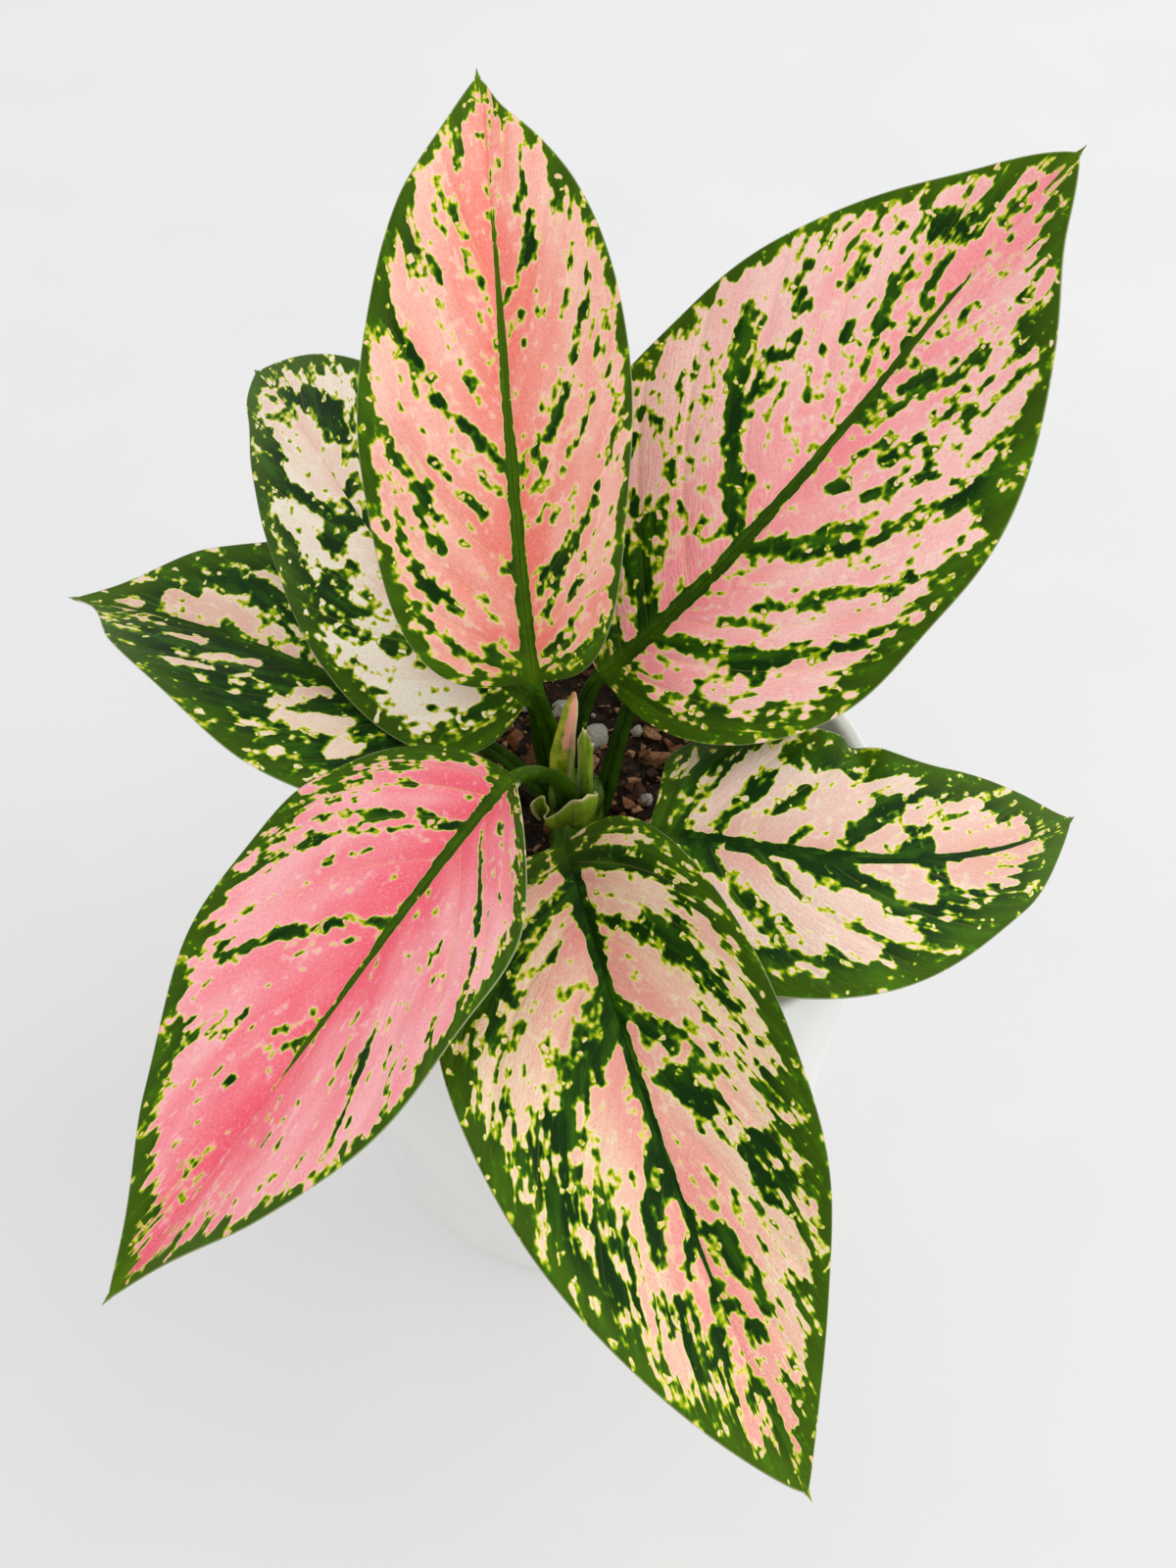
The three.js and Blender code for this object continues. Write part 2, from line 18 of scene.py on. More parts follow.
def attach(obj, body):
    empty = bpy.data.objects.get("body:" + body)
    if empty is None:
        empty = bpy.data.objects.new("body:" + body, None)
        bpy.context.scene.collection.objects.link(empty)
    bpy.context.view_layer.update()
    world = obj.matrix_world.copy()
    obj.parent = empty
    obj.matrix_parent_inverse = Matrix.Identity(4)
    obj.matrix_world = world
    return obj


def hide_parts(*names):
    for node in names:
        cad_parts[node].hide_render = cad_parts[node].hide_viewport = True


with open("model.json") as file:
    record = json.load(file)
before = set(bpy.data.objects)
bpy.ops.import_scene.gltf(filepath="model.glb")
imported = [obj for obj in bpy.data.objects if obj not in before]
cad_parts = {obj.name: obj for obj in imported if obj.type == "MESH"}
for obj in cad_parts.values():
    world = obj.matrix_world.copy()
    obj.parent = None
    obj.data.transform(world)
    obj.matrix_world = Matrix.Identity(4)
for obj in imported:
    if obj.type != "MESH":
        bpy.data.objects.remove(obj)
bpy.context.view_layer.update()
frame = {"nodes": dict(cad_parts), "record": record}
print("nodes:", sorted(frame["nodes"]))

# %% [markdown]
# The camera looks down at the plant by half a right angle and a little more, from the side of -Y.
# A longer lens from further away would flatten the leaves. The place and the lens here are those
# that make the pot's rim, its foot and its inner wall fall where they do in the photograph.

# %% Camera
CAMERA_PLACE = (-0.0006, -0.298, 0.472)
LOOK_DOWN = 50.4
LENS = 54
SENSOR_WIDTH = 36
NEAREST_SHOWN = 0.01

camera = bpy.data.objects.new("camera", bpy.data.cameras.new("camera"))
bpy.context.scene.collection.objects.link(camera)
camera.location = CAMERA_PLACE
camera.rotation_euler = (np.radians(90 - LOOK_DOWN), 0, 0)
camera.data.lens = LENS
camera.data.sensor_width = SENSOR_WIDTH
camera.data.clip_start = NEAREST_SHOWN
bpy.context.scene.camera = camera
print("camera looks down by", LOOK_DOWN, "degrees through a", LENS, "mm lens")

# %% [markdown]
# The plant is worked out in millimetres, as a gardener would measure it, and turned into metres
# only when a mesh is made. Nearly every piece of it is long and round in some way: a stalk, a blade,
# a pot. So one helper covers rings of points with faces, and one makes the mesh object and says
# which solid it stands for. Modifiers could do some of this, but rings in code can be measured.

# %% Helpers for numbers and meshes
MM = 0.001


def mix(a, b, share):
    return a + (b - a) * share


def clamp01(x):
    return np.clip(x, 0, 1)


def smooth(x):
    return x * x * (3 - 2 * x)


def soft_step(x, low, high):
    return smooth(clamp01((x - low) / (high - low)))


def unit(v):
    return v / np.linalg.norm(v, axis=-1, keepdims=True)


def make_piece(name, points, faces, finish, node, slot, values=None, flat_map=None):
    """A mesh object of points in mm, riding on the plant, in the place of a solid of the frame."""
    mesh = bpy.data.meshes.new(name)
    mesh.from_pydata((np.asarray(points) * MM).tolist(), [], faces)
    for key, value in (values or {}).items():
        value = np.asarray(value, np.float32)
        kind, field = ("FLOAT", "value") if value.ndim == 1 else ("FLOAT_VECTOR", "vector")
        mesh.attributes.new(key, kind, "POINT").data.foreach_set(field, value.ravel())
    if flat_map is not None:
        mesh.uv_layers.new(name="OFBake").data.foreach_set("uv", np.asarray(flat_map, np.float32).ravel())
    mesh.shade_smooth()
    mesh.materials.append(finish)
    piece = bpy.data.objects.new(name, mesh)
    bpy.context.scene.collection.objects.link(piece)
    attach(piece, "root")
    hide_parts(node)
    print(name, len(points), "points,", len(faces), "faces")
    return piece


def lofted(rings, first=None, last=None):
    """Points and faces of a closed skin over rings of points, with one more point to close each end."""
    rings = np.asarray(rings, float)
    count, sides = rings.shape[:2]
    ends = [rings[0].mean(0) if first is None else first, rings[-1].mean(0) if last is None else last]
    ring = np.arange(sides)
    after = (ring + 1) % sides
    near = np.arange(count - 1)[:, None] * sides
    far = near + sides
    faces = np.stack([near + ring, near + after, far + after, far + ring], -1).reshape(-1, 4).tolist()
    faces += [[count * sides, int(b), int(a)] for a, b in zip(ring, after)]
    end = (count - 1) * sides
    faces += [[count * sides + 1, int(end + a), int(end + b)] for a, b in zip(ring, after)]
    return np.concatenate([rings.reshape(-1, 3), ends]), faces

# %% [markdown]
# A finish is a node material. It could be wired by hand in the node editor. Written as code it can
# be read from top to bottom, like a recipe that says what is mixed with what. The nodes are added
# through a few short helpers. Blender's noise lies close to its middle, so it is spread by a gain.

# %% Helpers for finishes
NOISE_GAIN = 7


def tone(hexadecimal):
    """A colour as a painter writes it, made linear as the shader wants it."""
    parts = [int(hexadecimal[i:i + 2], 16) / 255 for i in (1, 3, 5)]
    linear = [p / 12.92 if p <= 0.04045 else ((p + 0.055) / 1.055) ** 2.4 for p in parts]
    return (*linear, 1)


class Finish:
    """A material with its shader, and helpers that add nodes to it."""

    def __init__(self, name):
        self.material = bpy.data.materials.new(name)
        self.material.use_nodes = True
        self.tree = self.material.node_tree
        self.shader = self.tree.nodes["Principled BSDF"]

    def feed(self, socket, value):
        if isinstance(value, bpy.types.NodeSocket):
            self.tree.links.new(value, socket)
        else:
            socket.default_value = value

    def node(self, kind, *values, **settings):
        made = self.tree.nodes.new("ShaderNode" + kind)
        for key, value in settings.items():
            setattr(made, key, value)
        for socket, value in zip(made.inputs, values):
            if value is not None:
                self.feed(socket, value)
        return made

    def maths(self, operation, *values):
        return self.node("Math", *values, operation=operation).outputs[0]

    def attribute(self, name, vector=False):
        return self.node("Attribute", attribute_name=name).outputs["Vector" if vector else "Fac"]

    def place(self):
        """The point's own place on the piece, in mm."""
        place = self.node("TexCoord").outputs["Object"]
        return self.stretched(place, (1 / MM, 1 / MM, 1 / MM))

    def stretched(self, vector, sizes):
        return self.node("VectorMath", vector, sizes, operation="MULTIPLY").outputs[0]

    def noise(self, vector, size, detail=2, rough=0.5):
        """Cloudy noise with features of about size, as a number that mostly lies from -1 to 1."""
        made = self.node("TexNoise")
        self.feed(made.inputs["Vector"], vector)
        made.inputs["Scale"].default_value = 1 / size
        made.inputs["Detail"].default_value = detail
        made.inputs["Roughness"].default_value = rough
        return self.maths("MULTIPLY_ADD", made.outputs[0], NOISE_GAIN, -NOISE_GAIN / 2)

    def step(self, value, low, high, start=0, end=1):
        made = self.node("MapRange", value, low, high, start, end, interpolation_type="SMOOTHSTEP")
        return made.outputs[0]

    def blend(self, share, a, b):
        made = self.node("Mix", data_type="RGBA")
        for socket, value in zip((made.inputs[0], made.inputs[6], made.inputs[7]), (share, a, b)):
            self.feed(socket, value)
        return made.outputs[2]

    def ramp(self, value, stops):
        """Colours along a number from 0 to 1, at the given stops."""
        made = self.node("ValToRGB", value)
        line = made.color_ramp.elements
        while len(line) < len(stops):
            line.new(0.5)
        for element, (place, colour) in zip(line, stops):
            element.position = place
            element.color = colour
        return made.outputs[0]

    def bump(self, height, distance):
        made = self.node("Bump")
        made.inputs["Distance"].default_value = distance * MM
        self.feed(made.inputs["Height"], height)
        self.feed(self.shader.inputs["Normal"], made.outputs[0])

    def set(self, **inputs):
        for name, value in inputs.items():
            self.feed(self.shader.inputs[name.replace("_", " ")], value)
        return self.material

# %% [markdown]
# No two leaves of a plant are alike. Each could be sculpted, but eight leaves ruled by the same
# measures stay one family, and a single number can be set right without touching the rest.
# The midrib (rib) is a curve through the air, given by four points in mm. half is the half width on
# the left and on the right, as seen from above, looking from the stalk to the tip. lobe says how far
# the foot of the blade reaches back beside the stalk, belly where the leaf is widest, and point how
# drawn out its tip is. roll turns the blade about its midrib, at the foot and at the tip, the folds
# lift each half, and curl bends the halves towards their edges, all in degrees. wave is the height,
# the number and the phases of the waves of the edge. foot and rise are the first points of the
# stalk, and reach says how far ahead of the blade it lines up with the midrib. A swell is a place
# where the edge stands out or in: its side, place, span and extra mm. A notch is a dent in the edge.

# %% The leaves' measures
RIB_SAMPLES = 41

LEAVES = {
    "leaf_back_center": dict(
        rib=[[-11, 7, 134], [-16, 36, 161], [-17, 65, 187], [-22, 98, 208]], half=[29, 29],
        lobe=[10, 10], roll=[26, 0], fold_left=[13, 10], fold_right=[23, 8], curl=[4, 16],
        belly=0.41, point=0.18, wave=[1.2, 2.5, 0.1, 0.6],
        foot=[-5.3, 5.7, 103.5], rise=[-8, 12, 118], reach=5,
        swells=[(-1, 0.68, 0.2, 0.8), (1, 0.88, 0.06, -1.2)],
    ),
    "leaf_back_left": dict(
        rib=[[-12, 11, 125], [-41, 26, 137], [-54, 66, 143], [-74, 105, 128]], half=[26, 30],
        lobe=[9, 9], roll=[25, 30], fold_left=[6, 0], fold_right=[13, 10], curl=[-32, 4],
        belly=0.4, point=0.07, wave=[1, 2.5, 0.3, 0],
        foot=[-4.5, 6, 96], rise=[-12, 15, 102], reach=3,
        swells=[(-1, 0.42, 0.2, -1.6), (-1, 0.63, 0.07, -0.6), (-1, 0.9, 0.08, 2), (1, 0.82, 0.1, 0.6)],
    ),
    "leaf_back_right": dict(
        rib=[[2, 17, 125], [38, 33, 150], [61, 57, 179], [90, 68, 212]], half=[41, 42],
        lobe=[2, 2], roll=[-12, -15], fold_left=[7, 12], fold_right=[6, 15], curl=[-4, -14],
        belly=0.37, point=0.05, wave=[1.4, 2.5, 0.5, 0.2],
        foot=[-1.5, 6, 99], rise=[-5.5, 14, 108], reach=4,
        swells=[(-1, 0.45, 0.1, 1.2), (-1, 0.77, 0.1, -1.3), (1, 0.8, 0.08, -1.4), (1, 0.28, 0.08, -1.6)],
    ),
    "leaf_left_low": dict(
        rib=[[-22, 9.5, 113], [-50, 22, 115.5], [-76, 42.5, 114], [-113, 61.5, 101]], half=[30, 32],
        lobe=[7, 7], roll=[10, -10], fold_left=[10, 18], fold_right=[13, 17], curl=[0, 16],
        belly=0.35, point=0.43, wave=[1, 2, 0, 0.4],
        foot=[-5, 2.5, 99], rise=[-10.5, 4, 106.5], reach=6,
        swells=[(1, 0.7, 0.1, 0.8), (-1, 0.84, 0.12, -1.3), (-1, 0.33, 0.1, 0.7)],
    ),
    "leaf_front_left": dict(
        rib=[[-14, -27, 146], [-32, -39, 130], [-52, -67, 113], [-87, -99, 86]], half=[34, 35],
        lobe=[3, -2], roll=[-12, -16], fold_left=[20, 20], fold_right=[14, 18], curl=[-14, 0],
        belly=0.41, point=0.33, wave=[1.2, 2.5, 0.2, 0.7],
        foot=[-4.5, -0.4, 104], rise=[-4.6, -4.3, 126], reach=2,
        swells=[(-1, 0.6, 0.17, 2.8), (1, 0.42, 0.15, 0.8), (1, 0.15, 0.05, -1)],
    ),
    "leaf_front": dict(
        rib=[[-5, -28, 128], [4, -67, 130], [16, -100, 107], [38, -130, 73]], half=[30, 33],
        lobe=[1, 1], roll=[-20, 10], fold_left=[27, 9], fold_right=[13, 13], curl=[20, 1],
        belly=0.37, point=0.03, wave=[1.2, 3, 0.4, 0.1],
        foot=[-3.5, 0, 100], rise=[-3.5, -14, 106], reach=9,
        swells=[(-1, 0.5, 0.25, 1), (1, 0.52, 0.15, 0.7)],
    ),
    "leaf_right": dict(
        rib=[[11, -14, 114], [41, -28, 124], [73, -26, 113], [99, 6, 93]], half=[27, 28],
        lobe=[16, 16], roll=[-4, -36], fold_left=[8, 11], fold_right=[8, -3], curl=[-15, -25],
        belly=0.34, point=0.29, wave=[1, 2.5, 0.6, 0.3], notch=[0.47, 0.035, 5],
        foot=[0, 1, 98], rise=[7, -7, 103], reach=5,
        swells=[(-1, 0.52, 0.1, -2), (-1, 0.8, 0.08, 1), (1, 0.62, 0.13, -2.4), (1, 0.34, 0.08, 0.8)],
    ),
    "leaf_under_right": dict(
        rib=[[12, 21, 121], [36, 38, 130], [56, 50, 132], [76, 58, 124]], half=[19, 20],
        lobe=[6, 6], roll=[0, -8], fold_left=[10, 12], fold_right=[10, 12], curl=[0, 0],
        belly=0.38, point=0.25, wave=[0.8, 2.5, 0, 0.5],
        foot=[0.5, 3.5, 97], rise=[5, 8, 105], reach=8,
        swells=[(-1, 0.4, 0.1, 0.6)],
    ),
}


def bezier(points, s):
    a, b, c, d = (np.array(p, float) for p in points)
    s = np.asarray(s, float)[..., None]
    return (1 - s) ** 3 * a + 3 * s * (1 - s) ** 2 * b + 3 * s * s * (1 - s) * c + s ** 3 * d


def bezier_direction(points, s):
    a, b, c, d = (np.array(p, float) for p in points)
    s = np.asarray(s, float)[..., None]
    return unit((1 - s) ** 2 * (b - a) + 2 * s * (1 - s) * (c - b) + s * s * (d - c))


for name, leaf in LEAVES.items():
    line = bezier(leaf["rib"], np.linspace(0, 1, RIB_SAMPLES))
    leaf["length"] = np.linalg.norm(np.diff(line, axis=0), axis=1).sum()
    print(name, "blade", round(leaf["length"]), "mm long")

# %% [markdown]
# A blade is laid out flat first. A plain grid would do for its shape, but veins and marbling would
# cross it at odd angles. So the net of points has one row for each line q that a side vein could
# follow, from the stalk (0) to the tip (1), and columns t from the midrib (0) to the edge (1). The
# rows leave the midrib aslant and bend to the tip, as the veins of this plant do, so that a groove
# or a stripe of colour that follows a row looks grown. Then the net is bent along the midrib.

# %% The blade's flat net and how it bends
STALK_RADIUS = 2
TAPER = 0.85
POINT_FROM = 0.8
OUTLINE_SPREAD = 1.4
LOBE_SPREAD = 6
VEIN_START = 2.1
VEIN_BEND = (0.34, 0.62)
TIP_HALF_WIDTH = 0.5


def by_side(pair, side):
    return np.where(side < 0, pair[0], pair[1])


def outline_point(leaf, side, q):
    """How far along the leaf and how far out the edge is, at the end of line q."""
    belly = leaf["belly"]
    x = 1 - (1 - q) ** OUTLINE_SPREAD
    lobe_peak = (LOBE_SPREAD / (LOBE_SPREAD + 1)) ** LOBE_SPREAD / (LOBE_SPREAD + 1)
    lobe_shape = q * (1 - q) ** LOBE_SPREAD / lobe_peak
    rise = (x / belly) ** (TAPER * belly / (1 - belly))
    fall = ((1 - x) / (1 - belly)) ** TAPER
    drawn = 1 - leaf["point"] * smooth(clamp01((x - POINT_FROM) / (1 - POINT_FROM)))
    width = by_side(leaf["half"], side) * rise * fall * drawn
    for half, place, span, extra in leaf["swells"]:
        width = width + np.where(side == half, extra * np.exp(-(((q - place) / span) ** 2)), 0)
    least = mix(STALK_RADIUS, TIP_HALF_WIDTH, q)
    return leaf["length"] * x - by_side(leaf["lobe"], side) * lobe_shape, np.maximum(width, least)


def flat_point(leaf, side, q, t):
    """The flat place of line q, t of the way to the edge: along the leaf, and out from the midrib."""
    along, out = outline_point(leaf, side, q)
    start = leaf["length"] * q ** VEIN_START
    bend_along = mix(start, along, VEIN_BEND[0])
    bend_out = VEIN_BEND[1] * out
    return (
        (1 - t) ** 2 * start + 2 * t * (1 - t) * bend_along + t * t * along,
        2 * t * (1 - t) * bend_out + t * t * out,
    )


def rib_frame(leaf, s):
    """The midrib at s: its point, and its forward, right and up directions."""
    forward = bezier_direction(leaf["rib"], s)
    level = unit(np.cross(forward, [0, 0, 1.0]))
    upright = np.cross(level, forward)
    roll = np.radians(mix(leaf["roll"][0], leaf["roll"][1], np.asarray(s, float)))[..., None]
    right = level * np.cos(roll) + upright * np.sin(roll)
    return bezier(leaf["rib"], s), forward, right, np.cross(right, forward)


def blade_point(leaf, side, q, t):
    """The bent blade's point on line q, and its up direction."""
    along, out = flat_point(leaf, side, q, t)
    s = clamp01(along / leaf["length"])
    spot, forward, right, up = rib_frame(leaf, s)
    across = out / by_side(leaf["half"], side)
    fold = mix(by_side((leaf["fold_left"][0], leaf["fold_right"][0]), side),
               by_side((leaf["fold_left"][1], leaf["fold_right"][1]), side), s)
    angle = np.radians(fold + by_side(leaf["curl"], side) * across / 2)
    height, waves, phase_left, phase_right = leaf["wave"]
    phase = by_side((phase_left, phase_right), side)
    wave = height * across ** 2 * np.sin(2 * np.pi * (waves * s + phase))
    if "notch" in leaf:
        place, span, depth = leaf["notch"]
        dent = depth * across ** 3 * np.exp(-(((s - place) / span) ** 2))
        wave = wave - np.where(side < 0, dent, 0)
    point = spot + forward * (along - s * leaf["length"])[..., None]
    point = point + right * (side * out * np.cos(angle))[..., None]
    return point + up * (out * np.sin(angle) + wave)[..., None], up

# %% [markdown]
# A real leaf isn't a smooth sheet. It swells between its side veins and sinks along them, and the
# midrib lies in a channel with a fine ridge in its middle and a round keel below. Bump alone could
# draw this, but the outline and the light at a low angle would stay flat. So the net is fine: rows
# half a millimetre apart, and columns that crowd at the midrib. Both faces take the shape, as a real
# leaf shows its veins raised on its back.

# %% The blade's fine shape
ROW_COUNT = 231
HALF_COLUMNS = 50
COLUMN_CROWDING = 1.25
THICK_MIDDLE = 0.62
THICK_EDGE = 0.34
CHANNEL_DEPTH = 0.75
KEEL_DEPTH = 1.9
RIB_FADE = 0.8
RIDGE_HEIGHT = 0.45
RIDGE_SHARE = 0.3
CHANNEL_AT_TIP = 0.55
KEEL_AT_TIP = 0.9
VEIN_SINK = 0.16
VEIN_WIDTH = 0.55
SWELL = 0.34
SWELL_FROM_RIB = (1, 7)
SWELL_FROM_RIM = (0, 5)
SWELL_ON_BACK = 0.8
VEIN_BOW = 1.08
FAR = 1000.0
SIDE_VEINS = {-1: (0.05, 0.13, 0.22, 0.32, 0.43, 0.55, 0.68, 0.81, 0.92),
              1: (0.03, 0.09, 0.175, 0.27, 0.375, 0.49, 0.615, 0.745, 0.87)}

column = np.linspace(0, 1, HALF_COLUMNS + 1) ** COLUMN_CROWDING
T = np.concatenate([column[:0:-1], column])[None, :]
SIDE = np.concatenate([-np.ones(HALF_COLUMNS), np.ones(HALF_COLUMNS + 1)])[None, :]
Q = np.linspace(0, 1, ROW_COUNT)[:, None]
T, SIDE, Q = np.broadcast_arrays(T, SIDE, Q)


def vein_count(side, q):
    """Rises by one from each side vein to the next, so that it is whole on every vein."""
    left, right = (np.interp(q, (0, *veins, 1), np.arange(len(veins) + 2)) for veins in SIDE_VEINS.values())
    return np.where(side < 0, left, right)


def flat_net(leaf):
    """The flat net of a blade, each measure an array of rows by columns.

    along and out are the flat place, line the way along a vein line, and rim the way to the edge, in
    mm. off_vein is the way to the nearest side vein as a share of the gap, and vein_mm in mm.
    """
    along, out = flat_point(leaf, SIDE, Q, T)
    edge_along, edge_out = outline_point(leaf, SIDE, Q)
    start = leaf["length"] * Q ** VEIN_START
    line_length = np.hypot(edge_along - start, edge_out) * VEIN_BOW
    row_step = [np.gradient(a, axis=0) * (ROW_COUNT - 1) for a in (along, out)]
    lean = [2 * (1 - T) * (b - a) + 2 * T * (c - b) for a, b, c in (
        (start, mix(start, edge_along, VEIN_BEND[0]), edge_along), (0, VEIN_BEND[1] * edge_out, edge_out))]
    spread = np.abs(row_step[0] * lean[1] - row_step[1] * lean[0]) / np.hypot(*lean)
    count = vein_count(SIDE, Q)
    off_vein = np.abs(count - np.round(count))
    vein_gap = spread / np.maximum(np.gradient(count, axis=0) * (ROW_COUNT - 1), 1e-3)
    rim = np.full(along.shape, FAR)
    for half in (-1, 1):
        chosen = SIDE[0] == half
        edge = np.stack([edge_along[:, chosen][:, 0], edge_out[:, chosen][:, 0]], 1)
        spots = np.stack([along[:, chosen], out[:, chosen]], -1)
        gaps = np.linalg.norm(spots[:, :, None] - edge[None, None], axis=-1)
        rim[:, chosen] = gaps.min(-1)
    return dict(along=along, out=out, line=T * line_length, rim=rim,
                off_vein=off_vein, vein_mm=off_vein * vein_gap)


def blade_sides(leaf, net):
    """The upper and the under face of a blade, and the rims between them."""
    point, up = blade_point(leaf, SIDE, Q, T)
    fade = (1 - Q) ** RIB_FADE
    channel = mix(CHANNEL_AT_TIP, STALK_RADIUS, fade)
    near = clamp01(1 - net["out"] / channel)
    ridge = RIDGE_HEIGHT * np.exp(-((net["out"] / (RIDGE_SHARE * channel)) ** 2))
    groove = fade * (CHANNEL_DEPTH * smooth(near) - ridge)
    keel_width = mix(KEEL_AT_TIP, STALK_RADIUS, fade)
    keel = KEEL_DEPTH * fade * np.sqrt(clamp01(1 - (net["out"] / keel_width) ** 2))
    relief = SWELL * (np.sin(np.pi * net["off_vein"]) - 0.5)
    relief = relief - VEIN_SINK * np.exp(-((net["vein_mm"] / VEIN_WIDTH) ** 2))
    relief = relief * (soft_step(net["out"], *SWELL_FROM_RIB) * soft_step(net["rim"], *SWELL_FROM_RIM))
    thick = mix(THICK_MIDDLE, THICK_EDGE, T ** 2) / 2
    upper = point + up * (thick + relief - groove)[..., None]
    under = point + up * (relief * SWELL_ON_BACK - thick - keel)[..., None]
    rims = [point[:, end] + unit(point[:, end] - point[:, inner]) * THICK_EDGE / 2
            for end, inner in ((0, 2), (-1, -3))]
    return upper, under, rims

# %% [markdown]
# The stalk rises from the stem and runs into the midrib. It is round below and has a channel along
# its top. It could be a swept curve of its own, but then a seam would show where the blade starts.
# Its rings therefore have the blade's own columns, and blend into the first row of the blade.

# %% The stalk's rings
STALK_RINGS = 44
STALK_TOP = 0.6
STALK_CHANNEL = 0.5
FOOT_SWELL = 0.4
STALK_SLIMMING = 0.2
SLIM_BETWEEN = (0.1, 0.5)
ROUND_TURN = 0.97
JOIN_FROM = 0.86


def stalk_sides(leaf, blade_upper, blade_under, blade_rims):
    """The upper and under face of the stalk and its rims, ring by ring from its foot."""
    spot, forward, right, up = (a[0] for a in rib_frame(leaf, np.zeros(1)))
    path = [leaf["foot"], leaf["rise"], spot - forward * leaf["reach"], spot]
    turn = SIDE[0] * flat_point(leaf, SIDE[0], 0.0, T[0])[1] / STALK_RADIUS * ROUND_TURN * np.pi / 2
    sideways, height = np.sin(turn), np.cos(turn)
    first = [np.stack([(a - spot) @ right, (a - spot) @ up], -1)
             for a in (blade_upper[0], blade_under[0], blade_rims[0][0], blade_rims[1][0])]
    rings = []
    ahead = right
    for k in range(STALK_RINGS - 1, -1, -1):
        t = k / STALK_RINGS
        forward = bezier_direction(path, t)
        ahead = unit(ahead - forward * (ahead @ forward))
        radius = (STALK_RADIUS + FOOT_SWELL * (1 - t)) * (1 - STALK_SLIMMING * soft_step(t, *SLIM_BETWEEN))
        top = radius * (STALK_TOP * height - STALK_CHANNEL * (1 - np.abs(sideways)) ** 2)
        own = [np.stack([radius * sideways, top], -1), np.stack([radius * sideways, -radius * height], -1),
               np.array([-radius, 0]), np.array([radius, 0])]
        joined = soft_step(t, JOIN_FROM, 1)
        centre = bezier(path, t)
        over = np.cross(ahead, forward)
        ring = [mix(a, b, joined) for a, b in zip(own, first)]
        rings.append([centre + a[..., :1] * ahead + a[..., 1:] * over for a in ring])
    rings.reverse()
    return [np.stack([ring[i] for ring in rings]) for i in range(4)]
